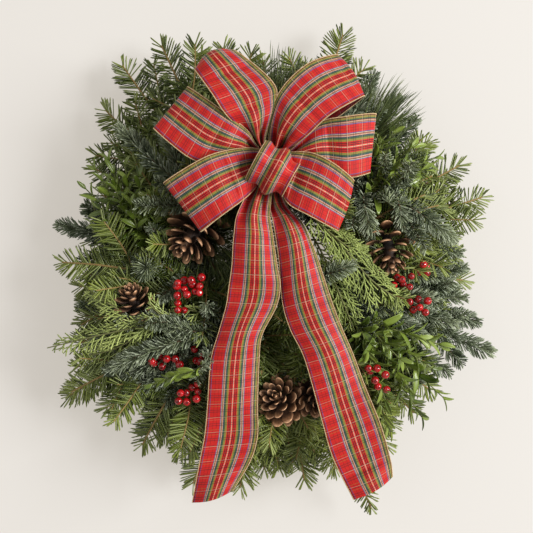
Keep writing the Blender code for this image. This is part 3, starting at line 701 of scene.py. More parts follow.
# node, seed, where it is bound, brushes: root and end (x, z, depth), needles, length, spread
PINE_BUNCHES = [
    ("pine_bunch_upper_right", 51, 30, [
        ((0.090, 0.120, 0.060), (0.122, 0.170, 0.070), 120, 0.092, 40),
        ((0.080, 0.140, 0.050), (0.130, 0.185, 0.060), 90, 0.085, 34),
        ((0.070, 0.150, 0.060), (0.090, 0.200, 0.070), 80, 0.075, 50),
        ((0.100, 0.110, 0.070), (0.150, 0.130, 0.085), 70, 0.070, 50)]),
    ("pine_bunch_under_bow_left", 52, 120, [
        ((-0.040, 0.130, 0.060), (-0.035, 0.205, 0.070), 110, 0.085, 45),
        ((0.000, 0.140, 0.050), (0.004, 0.215, 0.055), 110, 0.088, 40),
        ((-0.020, 0.120, 0.050), (-0.012, 0.190, 0.060), 90, 0.080, 60),
        ((0.030, 0.130, 0.050), (0.036, 0.205, 0.055), 80, 0.085, 40)]),
    ("pine_bunch_left_inner", 53, 120, [
        ((-0.125, 0.080, 0.050), (-0.072, 0.036, 0.082), 220, 0.080, 80),
        ((-0.120, 0.060, 0.050), (-0.055, -0.020, 0.065), 200, 0.085, 75),
        ((-0.100, 0.090, 0.040), (-0.030, 0.050, 0.050), 180, 0.080, 70),
        ((-0.080, 0.100, 0.040), (-0.020, 0.010, 0.035), 180, 0.080, 80)]),
]
for node_name, seed, angle, brushes in PINE_BUNCHES:
    grown = Growth(seed)
    for start, end, count, length, spread in brushes:
        pine_brush(grown, place_at(*start), place_at(*end), count, length, spread)
    tie_down(grown, angle, place_at(*brushes[0][0]), 0.003, 0.0026)
    add_bunch(node_name, grown, pine_green, noble_bark)

# ---------------------------------------------------------------- cedar bunches
# Soft flat sprays of western cedar. Each spray branches twice, in one plane, into cords of
# tiny overlapping scales.
CEDAR_SCALE = template(needle_shape(0.0026, 0.0014, 2, 0))
SCALE_LENGTH = 0.0042
SCALE_PITCH = 0.0026
cedar_green = leaf_material("yellow green cedar", (0.110, 0.150, 0.034), (0.340, 0.430, 0.100),
                            (0.700, 0.790, 0.270), (0.10, 0.13, 0.03), foot_share=0.35)
cedar_bark = bark_material("cedar twig bark", (0.09, 0.10, 0.03), (0.20, 0.20, 0.07))


def cedar_cord(grown, line, age):
    """Overlapping scales along a line."""
    rng = grown.rng
    count = max(int(length_of(line) / SCALE_PITCH), 2)
    share = np.linspace(0, 1, count, endpoint=False)
    steps = np.linspace(0, 1, len(line))
    where = read_at(share, steps, line)
    ahead = read_at(share, steps, np.gradient(line, axis=0))
    ups = FORWARD + rng.normal(0, 0.25, (count, 3))
    wide = 1 - 0.35 * share
    turns = facing(ahead, unit(ups), np.column_stack([wide, wide, np.full(count, SCALE_LENGTH)]))
    grown.leaves.append((CEDAR_SCALE, turns, where, rng.random(count) * 0.5 + 0.5 * rng.random(),
                         np.clip(age + 0.5 * share, 0, 1) * grown.fresh))


def cedar_spray(grown, points, width, tilt):
    """A flat frond along some points: cords off side branches off a main axis."""
    rng = grown.rng
    line = smooth_line([place_at(*point) for point in points])
    grown.stick(line, 0.0016, 0.0007)
    face = unit(np.array((tilt, -1.0, 0.25 * tilt)))
    slope = unit(np.gradient(line, axis=0))
    cedar_cord(grown, line[int(len(line) * 0.35):], 0.2)
    branches = int(length_of(line) / 0.0078)
    for number in range(branches):
        share = 0.16 + 0.82 * (number + rng.uniform(0, 0.4)) / branches
        index = min(int(share * (len(line) - 1)), len(line) - 2)
        hand = 1 if number % 2 else -1
        lateral = unit(np.cross(slope[index], face)) * hand
        length = width * math.sin(math.pi * min(share * 0.86 + 0.12, 1)) ** 0.8 * rng.uniform(0.75, 1.1)
        out = unit(slope[index] * 0.86 + lateral * 0.54 + face * rng.uniform(-0.20, 0.10))
        start = line[index]
        droop = np.array((0, 0.10 * length, -0.10 * length))
        branch = smooth_line([start, start + out * length * 0.5, start + out * length
                              + slope[index] * length * 0.14 + droop], 8)
        cedar_cord(grown, branch, 0.35)
        twigs = max(int(length / 0.0048), 1)
        for each in range(twigs):
            part = 0.15 + 0.80 * (each + rng.uniform(0, 0.3)) / twigs
            spot = branch[int(part * (len(branch) - 1))]
            way = unit(np.gradient(branch, axis=0)[int(part * (len(branch) - 1))])
            aside = unit(np.cross(way, face)) * (1 if each % 2 else -1)
            reach = (0.007 + 0.30 * length * (1 - part)) * rng.uniform(0.8, 1.15)
            end = spot + unit(way * 0.88 + aside * 0.47 + face * rng.uniform(-0.2, 0.2)) * reach
            cedar_cord(grown, np.array([spot, (spot + end) / 2 + way * reach * 0.05, end]), 0.55)


# node, seed, where it is bound, how fresh its tips are, sprays: points (x, z, depth), width, tilt
CEDAR_BUNCHES = [
    ("cedar_bunch_left", 61, 190, 1.0, [
        ([(-0.120, -0.062, 0.090), (-0.152, -0.066, 0.132), (-0.196, -0.044, 0.138),
          (-0.242, -0.016, 0.122)], 0.026, 0.1),
        ([(-0.122, -0.066, 0.088), (-0.160, -0.070, 0.130), (-0.210, -0.080, 0.132),
          (-0.282, -0.098, 0.112)], 0.027, -0.1),
        ([(-0.105, -0.066, 0.090), (-0.130, -0.060, 0.132), (-0.154, -0.038, 0.142),
          (-0.180, -0.014, 0.136)], 0.024, 0.2),
        ([(-0.118, -0.072, 0.085), (-0.158, -0.080, 0.118), (-0.200, -0.100, 0.118),
          (-0.240, -0.110, 0.104)], 0.030, 0.0),
        ([(-0.070, -0.060, 0.080), (-0.092, -0.052, 0.120), (-0.112, -0.050, 0.126),
          (-0.132, -0.058, 0.122)], 0.018, 0.0)]),
    ("cedar_bunch_right_inner", 62, 15, 0.45, [
        ([(0.055, 0.075, 0.080), (0.082, 0.040, 0.116), (0.125, -0.012, 0.124),
          (0.172, -0.044, 0.112)], 0.046, 0.1),
        ([(0.045, 0.060, 0.070), (0.065, 0.020, 0.110), (0.090, -0.040, 0.118),
          (0.108, -0.082, 0.106)], 0.036, -0.1),
        ([(0.040, 0.085, 0.080), (0.060, 0.060, 0.110), (0.095, 0.030, 0.122),
          (0.132, 0.012, 0.115)], 0.030, 0.1),
        ([(0.050, 0.040, 0.060), (0.070, -0.010, 0.090), (0.080, -0.060, 0.095),
          (0.080, -0.105, 0.085)], 0.034, 0.1)]),
]
for node_name, seed, angle, fresh, sprays in CEDAR_BUNCHES:
    grown = Growth(seed)
    grown.fresh = fresh
    for points, width, tilt in sprays:
        cedar_spray(grown, points, width, tilt)
        tie_down(grown, angle, place_at(*points[0]), 0.0022, 0.0016)
    add_bunch(node_name, grown, cedar_green, cedar_bark, "foliage")

# ---------------------------------------------------------------- broad-leaved sprigs
# Short sprigs with small glossy oval leaves in opposite pairs, each pair turned a quarter
# from the last. They fill in between the conifers.


def oval_leaf(width, fold, curl):
    """An oval leaf of unit length along Z, creased along its midrib and curled at its tip."""
    bm = bmesh.new()
    bmesh.ops.create_grid(bm, x_segments=4, y_segments=6, size=0.5)
    bmesh.ops.rotate(bm, verts=bm.verts, cent=(0, 0, 0), matrix=Matrix.Rotation(math.pi / 2, 3, "X"))
    bmesh.ops.translate(bm, verts=bm.verts, vec=(0, 0, 0.5))
    for vert in bm.verts:
        along = vert.co.z
        half = width * max(math.sin(math.pi * min(along * 0.94 + 0.03, 1)), 0.0) ** 0.62
        vert.co.x *= half * 2
        vert.co.y = abs(vert.co.x) * fold - curl * along ** 2 + 0.10 * along
    bmesh.ops.remove_doubles(bm, verts=bm.verts, dist=0.004)
    bmesh.ops.solidify(bm, geom=bm.faces[:], thickness=0.014)
    bmesh.ops.recalc_face_normals(bm, faces=bm.faces)
    return bm


BOX_LEAF = template(oval_leaf(0.21, 0.35, 0.22))
box_green = leaf_material("glossy oval leaves", (0.022, 0.048, 0.004), (0.105, 0.170, 0.014),
                          (0.280, 0.370, 0.055), (0.15, 0.20, 0.03), under=(0.21, 0.28, 0.05),
                          foot_share=0.25)
fill_inputs(box_green.node_tree, box_green.node_tree.nodes["Principled BSDF"],
            {"Coat Weight": 0.25, "Coat Roughness": 0.3})
box_bark = bark_material("green twig bark", (0.07, 0.10, 0.02), (0.18, 0.20, 0.06))


def leafy_twig(grown, points, leaf, pitch, wide, age, angle=52):
    """Leaves in opposite pairs along a twig through some points."""
    rng = grown.rng
    line = smooth_line([place_at(*point) for point in points])
    grown.stick(line, 0.0013, 0.0008)
    slope = unit(np.gradient(line, axis=0))
    pairs = max(int(length_of(line) * 0.85 / pitch), 2)
    where, out, ups, sizes, ages = [], [], [], [], []
    for pair in range(pairs + 1):
        share = 0.15 + 0.85 * pair / pairs
        index = min(int(share * (len(line) - 1)), len(line) - 1)
        side = unit(np.cross(slope[index], FORWARD))
        rise = np.cross(side, slope[index])
        turn = (math.pi / 2 if pair % 2 else 0) + rng.uniform(-0.4, 0.4) + 0.4
        across = side * math.cos(turn) + rise * math.sin(turn)
        lean = math.radians(angle * (1 - 0.5 * share ** 4) + rng.uniform(-10, 10))
        for hand in (-1, 1):
            where.append(line[index])
            out.append(slope[index] * math.cos(lean) + across * math.sin(lean) * hand)
            ups.append(slope[index] + rng.normal(0, 0.25, 3) + (0, -0.5, 0))
            length = leaf * rng.uniform(0.8, 1.1) * (1 - 0.35 * share ** 3)
            sizes.append((length * wide * rng.uniform(0.85, 1.1), length, length))
            ages.append(min(age + 0.6 * share ** 2, 1))
    grown.leaves.append((BOX_LEAF, facing(np.array(out), unit(np.array(ups)), np.array(sizes)),
                         np.array(where), rng.random(len(where)), np.array(ages)))


def leafy_fan(grown, foot, tips, leaf, pitch, wide, age):
    """Several twigs from one foot, each ending at a tip."""
    for tip in tips:
        middle = [(foot[k] * 0.45 + tip[k] * 0.55) + (0.012 if k == 2 else 0) for k in range(3)]
        leafy_twig(grown, [foot, middle, tip], leaf, pitch, wide, age)


# node, seed, foot, tips (x, z, depth), leaf length, pitch of the pairs, leaf width, age
BOX_BUNCHES = [
    ("box_bunch_left", 71, (-0.165, 0.030, 0.075),
     [(-0.240, 0.105, 0.080), (-0.226, 0.128, 0.086), (-0.208, 0.140, 0.092), (-0.186, 0.132, 0.104),
      (-0.166, 0.118, 0.112), (-0.150, 0.096, 0.118), (-0.138, 0.072, 0.124), (-0.142, 0.044, 0.124),
      (-0.218, 0.078, 0.096), (-0.196, 0.100, 0.110), (-0.176, 0.082, 0.118), (-0.228, 0.056, 0.085)],
     0.030, 0.0125, 0.72, 0.35),
    ("box_bunch_upper_right", 72, (0.105, 0.100, 0.080),
     [(0.182, 0.158, 0.085), (0.158, 0.178, 0.080), (0.196, 0.128, 0.095), (0.172, 0.108, 0.108),
      (0.160, 0.086, 0.112), (0.212, 0.145, 0.080), (0.165, 0.135, 0.105), (0.140, 0.160, 0.100)],
     0.031, 0.0135, 0.80, 0.40),
    ("box_bunch_lower_right", 73, (0.110, -0.060, 0.085),
     [(0.222, -0.164, 0.080), (0.195, -0.190, 0.080), (0.175, -0.150, 0.105), (0.205, -0.125, 0.100),
      (0.160, -0.110, 0.124), (0.185, -0.085, 0.116), (0.145, -0.165, 0.105), (0.150, -0.200, 0.080),
      (0.130, -0.125, 0.118), (0.215, -0.095, 0.095), (0.120, -0.100, 0.126)], 0.034, 0.0125, 0.72, 0.45),
]
for node_name, seed, foot, tips, leaf, pitch, wide, age in BOX_BUNCHES:
    grown = Growth(seed)
    leafy_fan(grown, foot, tips, leaf, pitch, wide, age)
    if node_name == "box_bunch_left":
        leafy_twig(grown, [(-0.066, -0.120, 0.120), (-0.104, -0.126, 0.144), (-0.146, -0.140, 0.146)],
                   0.021, 0.0085, 1.05, 1.0, angle=26)
    tie_down(grown, math.degrees(math.atan2(foot[1], foot[0])), place_at(*foot), 0.0024, 0.0018)
    add_bunch(node_name, grown, box_green, box_bark, "leaves")

# ---------------------------------------------------------------- pine cones
# Open pine cones, each wired round its base to the outer rail. The woody scales stand in a
# spiral round the core, near black at their feet as painted shade deep inside the cone, and paler along their
# rims.


def cone_scale():
    """A woody scale of unit length along Z: a thin stalk that swells into a rounded spoon."""
    bm = bmesh.new()
    bmesh.ops.create_uvsphere(bm, u_segments=10, v_segments=8, radius=0.5)
    bmesh.ops.translate(bm, verts=bm.verts, vec=(0, 0, 0.5))
    for vert in bm.verts:
        along = vert.co.z
        swell = 0.34 + 0.66 * min(along / 0.62, 1) ** 1.6
        hollow = 0.10 * max(1 - (vert.co.x / 0.42) ** 2, 0) * min(along, 1)
        vert.co.x *= swell * 0.92
        vert.co.y = vert.co.y * (0.10 + 0.16 * max(along - 0.55, 0)) - hollow + 0.26 * along ** 2.4
    bmesh.ops.recalc_face_normals(bm, faces=bm.faces)
    return bm


SCALE_COUNT = 48
CONE_SCALE = template(cone_scale())
bm = bmesh.new()
bmesh.ops.create_icosphere(bm, subdivisions=2, radius=1)
CONE_CORE = template(bm)


def colour_ramp(tree, share, stops):
    """A ramp through colours, each at its own place from 0 to 1."""
    ramp = add_node(tree, "ShaderNodeValToRGB", {"Fac": share})
    marks = ramp.color_ramp.elements
    for number, (position, colour) in enumerate(stops):
        mark = marks[number] if number < 2 else marks.new(position)
        mark.position = position
        mark.color = (*colour, 1)
    return ramp


def brightened(tree, colour, amount):
    """A colour made brighter or darker."""
    return add_node(tree, "ShaderNodeVectorMath", {0: colour, "Scale": amount},
                    operation="SCALE").outputs["Vector"]


cone_wood, tree, shader = new_material("cone scales")
grain = noise_on(tree, 300.0, 4.0)
# colour from each scale's foot to its rim: the near black at the foot is painted shade deep between the
# scales, and the core takes that dark end too
painted_shade_to_rim = colour_ramp(tree, attribute(tree, "reach"), (
    (0.0, (0.010, 0.005, 0.003)), (0.55, (0.060, 0.026, 0.012)), (0.84, (0.300, 0.148, 0.070)),
    (0.97, (0.780, 0.450, 0.250))))
shade = maths(tree, "MULTIPLY", remapped(tree, grain, 0.3, 0.7, 0.55, 1.25),
              remapped(tree, attribute(tree, "tone"), 0.0, 1.0, 0.75, 1.20))
fill_inputs(tree, shader, {"Base Color": brightened(tree, painted_shade_to_rim.outputs["Color"], shade),
                           "Roughness": 0.62})
dented(tree, shader, grain, 0.0005, 0.6)

# node, middle (x, z, depth), way the tip points (x, z, outward), length, width, seed, openness
CONES = [
    ("cone_left", (-0.100, 0.043, 0.118), (-0.48, -0.66, 0.58), 0.076, 0.074, 81, 1.0),
    ("cone_far_left", (-0.172, -0.040, 0.120), (-0.25, 0.80, 0.52), 0.058, 0.052, 82, 1.0),
    ("cone_right", (0.150, 0.024, 0.106), (0.10, -0.90, 0.42), 0.074, 0.062, 83, 1.05),
    ("cone_bottom", (0.011, -0.164, 0.104), (-0.30, 0.34, 0.90), 0.060, 0.062, 84, 1.0),
    ("cone_bottom_right", (0.054, -0.163, 0.098), (0.45, -0.20, 0.86), 0.056, 0.054, 85, 1.0),
]
for node_name, middle, way, length, width, seed, openness in CONES:
    rng = np.random.default_rng(seed)
    axis = unit(np.array((way[0], -way[2], way[1])))
    side = unit(np.cross(axis, (0.31, 0.22, 0.92)))
    rise = np.cross(side, axis)
    foot = np.array(CENTRE) + np.array((middle[0], -middle[2], middle[1])) - axis * length * 0.5
    count = SCALE_COUNT
    step = (np.arange(count) + 0.5) / count
    around = np.arange(count) * GOLDEN_TURN
    out = side * np.cos(around)[:, None] + rise * np.sin(around)[:, None]
    girth = np.sin(math.pi * np.clip(0.16 + 0.80 * step, 0, 1)) ** 0.8
    lean = np.radians(np.interp(step, (0, 0.25, 0.6, 0.9, 1), (118, 92, 68, 38, 12))) * openness
    directions = axis * np.cos(lean)[:, None] + out * np.sin(lean)[:, None]
    lengths = width * 0.5 * (0.42 + 0.58 * girth) * rng.uniform(0.92, 1.06, count)
    lengths *= np.interp(step, (0, 0.1, 0.85, 1), (0.7, 1, 0.75, 0.5))
    core = width * 0.10 * girth[:, None]
    where = foot + axis * (step[:, None] ** 0.92 * length * 0.80) + out * core
    wide = lengths * np.interp(step, (0, 0.5, 1), (0.74, 0.70, 0.56)) * rng.uniform(0.85, 1.15, count)
    ups = unit(axis * np.sin(lean)[:, None] - out * np.cos(lean)[:, None])
    turns = facing(directions, ups, np.column_stack([wide, lengths, lengths]))
    heart = facing(axis[None], side[None], np.array([[width * 0.13, width * 0.13, length * 0.42]]))
    stamps = [(CONE_SCALE, turns, where, rng.random(count), step),
              (CONE_CORE, heart, (foot + axis * length * 0.42)[None], np.zeros(1), np.zeros(1))]
    mesh = stamped(f"{node_name}_scales", stamps)
    add_piece(f"{node_name}_scales", mesh, cone_wood, replaces=[node_name])
    grown = Growth(seed)
    angle = math.degrees(math.atan2(middle[1], middle[0]))
    hook = [foot, polar(0.158, angle, 0.045), polar(0.170, angle, 0.014), polar(0.165, angle, 0.007)]
    grown.stick(smooth_line(hook), 0.0008, 0.0008)
    mesh = stamped(f"{node_name}_wire", grown.sticks)
    add_piece(f"{node_name}_wire", mesh, florist_wire)

# ---------------------------------------------------------------- berries
# Fresh red berries in small clusters on thin twigs, each with the dark speck left by its
# flower on the end.
bm = bmesh.new()
bmesh.ops.create_uvsphere(bm, u_segments=20, v_segments=14, radius=0.5)
bmesh.ops.translate(bm, verts=bm.verts, vec=(0, 0, 0.5))
for vert in bm.verts:
    vert.co.z -= 0.05 * max(1 - (vert.co.xy.length / 0.10) ** 2, 0) * (1 if vert.co.z > 0.5 else 0)
BERRY = template(bm)
berry_skin, tree, shader = new_material("red berry skin")
hue = mixed(tree, attribute(tree, "tone"), (0.27, 0.004, 0.006), (0.55, 0.008, 0.012))
speck = remapped(tree, attribute(tree, "reach"), 0.975, 0.99)
fill_inputs(tree, shader, {
    "Base Color": mixed(tree, speck, hue, (0.015, 0.006, 0.004)), "Roughness": 0.16, "Coat Weight": 0.5,
    "Subsurface Weight": 0.15, "Subsurface Radius": (0.004, 0.001, 0.001)})
dented(tree, shader, noise_on(tree, 500.0), 0.0001, 0.3)

BERRY_SIZE = (0.0088, 0.0106)
BERRY_SPACING = 0.0092
# node, seed, clusters: (x, z, depth), berries, half width, half height
BERRIES = [
    ("berries_left", 91, [((-0.101, -0.021, 0.138), 12, 0.016, 0.013),
                          ((-0.114, -0.042, 0.128), 3, 0.006, 0.008)]),
    ("berries_low_left", 92, [((-0.120, -0.115, 0.126), 8, 0.030, 0.007),
                              ((-0.084, -0.106, 0.126), 7, 0.016, 0.009)]),
    ("berries_bottom_left", 93, [((-0.104, -0.150, 0.128), 9, 0.013, 0.016)]),
    ("berries_right", 94, [((0.166, -0.014, 0.110), 6, 0.012, 0.010),
                           ((0.196, 0.002, 0.098), 4, 0.009, 0.006),
                           ((0.186, -0.046, 0.104), 6, 0.014, 0.010)]),
    ("berries_low_right", 95, [((0.133, -0.137, 0.122), 7, 0.013, 0.017)]),
]
for node_name, seed, clusters in BERRIES:
    grown = Growth(seed)
    rng = grown.rng
    spots, ways, sizes = [], [], []
    for (x, z, depth), count, wide, high in clusters:
        middle = np.array(CENTRE) + (x, -depth, z)
        root = middle + (0, 0.050, 0)
        kept = []
        for attempt in range(400):
            if len(kept) == count:
                break
            spot = middle + rng.uniform(-1, 1, 3) * (wide, 0.007, high)
            if all(np.linalg.norm(spot - other) > BERRY_SPACING for other in kept):
                kept.append(spot)
        for spot in kept:
            size = rng.uniform(*BERRY_SIZE)
            way = unit((spot - root) + rng.normal(0, 0.012, 3))
            spots.append(spot - way * size / 2)
            ways.append(way)
            sizes.append((size, size, size * 1.03))
            bend = (spot + root) / 2 + rng.normal(0, 0.003, 3)
            grown.stick(smooth_line([root, bend, spot - way * size * 0.48]), 0.0010, 0.0006)
        turn = math.degrees(math.atan2(z, x))
        grown.stick(smooth_line([polar(0.165, turn, 0.008), root]), 0.0013, 0.0010)
    turns = facing(np.array(ways), np.tile((0.2, 0.1, 1.0), (len(ways), 1)), np.array(sizes))
    mesh = stamped(f"{node_name}_fruit", [(BERRY, turns, np.array(spots), rng.random(len(spots)),
                                           np.ones(len(spots)))])
    add_piece(f"{node_name}_fruit", mesh, berry_skin, replaces=[node_name])
    mesh = stamped(f"{node_name}_twigs", grown.sticks)
    add_piece(f"{node_name}_twigs", mesh, noble_bark)

# ---------------------------------------------------------------- plaid ribbon
# Woven wired ribbon, 63.5 mm wide, in red plaid. It is gathered at the knot and bent into
# loops, and a gold thread is sewn over the fine wire along both edges.
RIBBON = 0.0635
CLOTH = 0.0004
COLUMNS = 40
# how deep the pleats are drawn in, and how far loose cloth bellies out, against a plain curve
PLEAT_DEPTH = 1.25
BELLY = 0.22
# where all the loops come together (x, z, depth)
KNOT = (0.002, 0.128, 0.146)
GOLD = (0.42, 0.25, 0.11)
DARK_RED = (0.075, 0.006, 0.007)
OLIVE = (0.25, 0.20, 0.04)
GREEN = (0.040, 0.100, 0.045)
RED = (0.54, 0.014, 0.011)
SCARLET = (0.32, 0.010, 0.008)
BLACK = (0.024, 0.012, 0.018)
CREAM = (0.58, 0.40, 0.27)
SALMON = (0.46, 0.17, 0.11)
BLUE = (0.070, 0.090, 0.26)
NAVY = (0.030, 0.034, 0.080)
# how far across each stripe starts, in hundredths of the width
STRIPES = [
    (0, GOLD), (1.0, DARK_RED), (2.2, OLIVE), (5.4, GREEN), (7.4, BLACK), (8.3, SALMON), (9.4, CREAM),
    (10.4, BLACK), (11.2, SALMON), (12.6, BLUE), (14.2, RED), (18.6, SCARLET), (19.3, RED),
    (23.0, SCARLET), (23.7, RED), (27.0, BLUE), (28.4, CREAM), (29.6, BLACK), (30.5, SALMON),
    (32.2, CREAM), (33.2, NAVY), (34.6, GREEN), (37.4, OLIVE), (41.0, RED), (42.8, DARK_RED),
    (44.2, RED), (45.8, DARK_RED), (47.2, RED), (49.4, CREAM),
    (50.6, RED), (52.8, DARK_RED), (54.2, RED), (55.8, DARK_RED), (57.2, RED), (59.0, OLIVE),
    (62.6, GREEN), (65.4, NAVY), (66.8, CREAM), (67.8, SALMON), (69.5, BLACK), (70.4, CREAM),
    (71.6, BLUE), (73.0, RED), (79.0, SCARLET), (79.8, RED), (86.0, SCARLET), (86.8, RED),
    (94.2, BLUE), (95.2, SCARLET), (98.8, GOLD)]
# how far along each cross thread starts and ends, in mm of a 36 mm repeat, and how strong it is
CROSS_THREADS = [(0.0, 0.7, CREAM, 0.42), (0.9, 1.6, BLACK, 0.45), (3.2, 3.8, OLIVE, 0.40),
                 (7.5, 8.5, BLACK, 0.48), (10.0, 11.0, BLACK, 0.48), (16.6, 17.3, BLACK, 0.45),
                 (17.6, 18.4, CREAM, 0.50), (20.6, 21.2, SALMON, 0.42), (25.0, 26.0, BLACK, 0.42),
                 (27.6, 28.6, BLACK, 0.48), (33.0, 33.6, OLIVE, 0.42)]


def plaid_group():
    """Plaid from how far across the ribbon a point is, 0 to 1, and how far along, in metres."""
    tree, given, out = new_group("plaid", {"Across": ("NodeSocketFloat", 0.5),
                                           "Along": ("NodeSocketFloat", 0.0)},
                                 {"Color": "NodeSocketColor", "Weave": "NodeSocketFloat"})
    halves = []
    for low in (0.0, 0.5):
        stripes = [(max(start / 100 - low, 0) * 2, colour) for start, colour in STRIPES
                   if low <= start / 100 < low + 0.5]
        if low:
            stripes.insert(0, (0.0, CREAM))
        half = colour_ramp(tree, remapped(tree, given["Across"], low, low + 0.5), stripes)
        half.color_ramp.interpolation = "CONSTANT"
        halves.append(half.outputs["Color"])
    colour = mixed(tree, maths(tree, "GREATER_THAN", given["Across"], 0.5), *halves)
    repeat = maths(tree, "FLOORED_MODULO", given["Along"], 0.036)
    for start, end, thread, strength in CROSS_THREADS:
        after = maths(tree, "GREATER_THAN", repeat, start / 1000)
        before = maths(tree, "LESS_THAN", repeat, end / 1000)
        inside = maths(tree, "MULTIPLY", after, before)
        colour = mixed(tree, maths(tree, "MULTIPLY", inside, strength), colour, thread)
    place = add_node(tree, "ShaderNodeCombineXYZ", {"X": given["Across"], "Y": given["Along"]})
    threads = []
    for scale in ((RIBBON * 3000, 160, 1), (RIBBON * 160, 3000, 1)):
        stretch = add_node(tree, "ShaderNodeVectorMath", {0: place.outputs["Vector"], 1: scale},
                           operation="MULTIPLY").outputs["Vector"]
        noise = add_node(tree, "ShaderNodeTexNoise", {"Vector": stretch, "Scale": 1.0, "Detail": 2.0})
        threads.append(noise.outputs["Fac"])
    weave = maths(tree, "ADD", *threads)
    slub = remapped(tree, weave, 0.7, 1.3, 0.74, 1.24)
    fill_inputs(tree, out, {"Color": brightened(tree, colour, slub), "Weave": weave})
    return tree


ribbon_cloth, tree, shader = new_material("red plaid ribbon")
flat_place = add_node(tree, "ShaderNodeUVMap", uv_map="UVMap").outputs["UV"]
split = add_node(tree, "ShaderNodeSeparateXYZ", {"Vector": flat_place})
plaid = add_node(tree, "ShaderNodeGroup", {"Across": split.outputs["X"], "Along": split.outputs["Y"]},
                 node_tree=plaid_group())
fill_inputs(tree, shader, {"Base Color": plaid.outputs["Color"], "Roughness": 0.60,
                           "Specular IOR Level": 0.25, "Sheen Weight": 0.05})
dented(tree, shader, plaid.outputs["Weave"], 0.0003, 0.5)
gold_thread, tree, shader = new_material("gold edge thread")
# the thread is dull gold, with noise patches of bright gold as painted glints on its beads
painted_glint = mixed(tree, noise_on(tree, 700.0), (0.34, 0.20, 0.09), (0.95, 0.74, 0.44))
fill_inputs(tree, shader, {"Base Color": painted_glint, "Metallic": 0.30, "Roughness": 0.38})
bm = bmesh.new()
bmesh.ops.create_uvsphere(bm, u_segments=6, v_segments=4, radius=0.5)
bmesh.ops.translate(bm, verts=bm.verts, vec=(0, 0, 0.5))
BEAD = template(bm)
BEAD_SIZE = (0.0014, 0.0014, 0.0015)
BEAD_PITCH = 0.0013


def sew_ribbon(name, node_name, edge_a, edge_b, pleats, slack, held, rests_on):
    """A ribbon between two edge lines of (x, z, depth). Where the edges stand closer than its
    width, the cloth between them is gathered in pleats at first and bellies out further on."""
    sides = [smooth_line([place_at(*point) for point in edge], 26) for edge in (edge_a, edge_b)]
    rows = min(len(side) for side in sides)
    left, right = sides[0][:rows], sides[1][:rows]
    middle = (left + right) / 2
    travel = travelled(middle)
    ahead = unit(np.gradient(middle, axis=0))
    across = right - left
    gap = np.linalg.norm(across, axis=1)
    normal = unit(np.cross(unit(across), ahead))
    peak = rows // 2 if held == "gathered" else rows - 1
    outward = middle[peak] - middle[0] if held == "gathered" else FORWARD
    normal *= 1 if normal[peak] @ outward > 0 else -1
    short = np.sqrt(np.maximum((RIBBON / np.maximum(gap, 0.012)) ** 2 - 1, 0) / 0.45)
    gathered = slack(travel / travel[-1])
    bm = bmesh.new()
    bmesh.ops.create_grid(bm, x_segments=COLUMNS, y_segments=rows - 1, size=0.5, calc_uvs=True)
    uv_layer = bm.loops.layers.uv.active or bm.loops.layers.uv.new("UVMap")
    for vert in bm.verts:
        share = vert.co.x + 0.5
        row = round((vert.co.y + 0.5) * (rows - 1))
        wave = PLEAT_DEPTH * short[row] * gap[row] / (math.tau * pleats)
        fold = math.sin(math.tau * pleats * share + 0.7) * wave * gathered[row]
        belly = short[row] * gap[row] * BELLY * math.sin(math.pi * share) * (1 - gathered[row])
        vert.co = Vector(left[row] + across[row] * share + normal[row] * (fold + belly))
        for loop in vert.link_loops:
            loop[uv_layer].uv = (share, travel[row])
    grid = np.array([vert.co[:] for vert in bm.verts]).reshape(rows, COLUMNS + 1, 3)
    mesh = mesh_of(name, bm)
    mesh.uv_layers[0].name = "UVMap"
    ribbon = add_piece(name, mesh, ribbon_cloth, replaces=[node_name])
    thick = ribbon.modifiers.new("cloth thickness", "SOLIDIFY")
    thick.thickness = CLOTH
    thick.offset = 0
    beads = []
    for line in (grid[:, 0], grid[:, -1]):
        reach = travelled(line)
        count = int(reach[-1] / BEAD_PITCH)
        where = read_at((np.arange(count) + 0.5) / count * reach[-1], reach, line)
        slope = np.gradient(where, axis=0)
        turns = facing(slope, np.tile((0.3, -1.0, 0.2), (count, 1)), np.tile(BEAD_SIZE, (count, 1)))
        half = np.full(count, 0.5)
        beads.append((BEAD, turns, where - unit(slope) * BEAD_SIZE[0] / 2, half, half))
    edging = add_piece(f"{name}_edging", stamped(f"{name}_edging", beads), gold_thread)
    return ribbon


def loop_edges(front):
    """A loop's edge: out from the knot, over its end and back underneath to the knot."""
    knot = np.array(KNOT)
    front = [tuple(knot + (np.array(front[0]) - knot) * (0.30, 0.30, 0.4))] + list(front)
    root, end = np.array(front[0]), np.array(front[-1])
    reach = end - root
    near = root + reach * 0.86
    back = [(near[0] + reach[0] * 0.05, near[1] + reach[1] * 0.05, end[2] - 0.020),
            (root[0] + reach[0] * 0.55, root[1] + reach[1] * 0.55, end[2] - 0.030),
            (root[0] + reach[0] * 0.20, root[1] + reach[1] * 0.20, root[2] - 0.014),
            (root[0] * 0.9, root[1] + reach[1] * 0.02, root[2] - 0.012)]
    return [tuple(point) for point in front] + back


def loop_slack(share):
    """Full pleats at both ends of a loop, none round its far end."""
    return np.clip(1.25 - 4.6 * np.minimum(share, 1 - share), 0, 1) ** 1.3


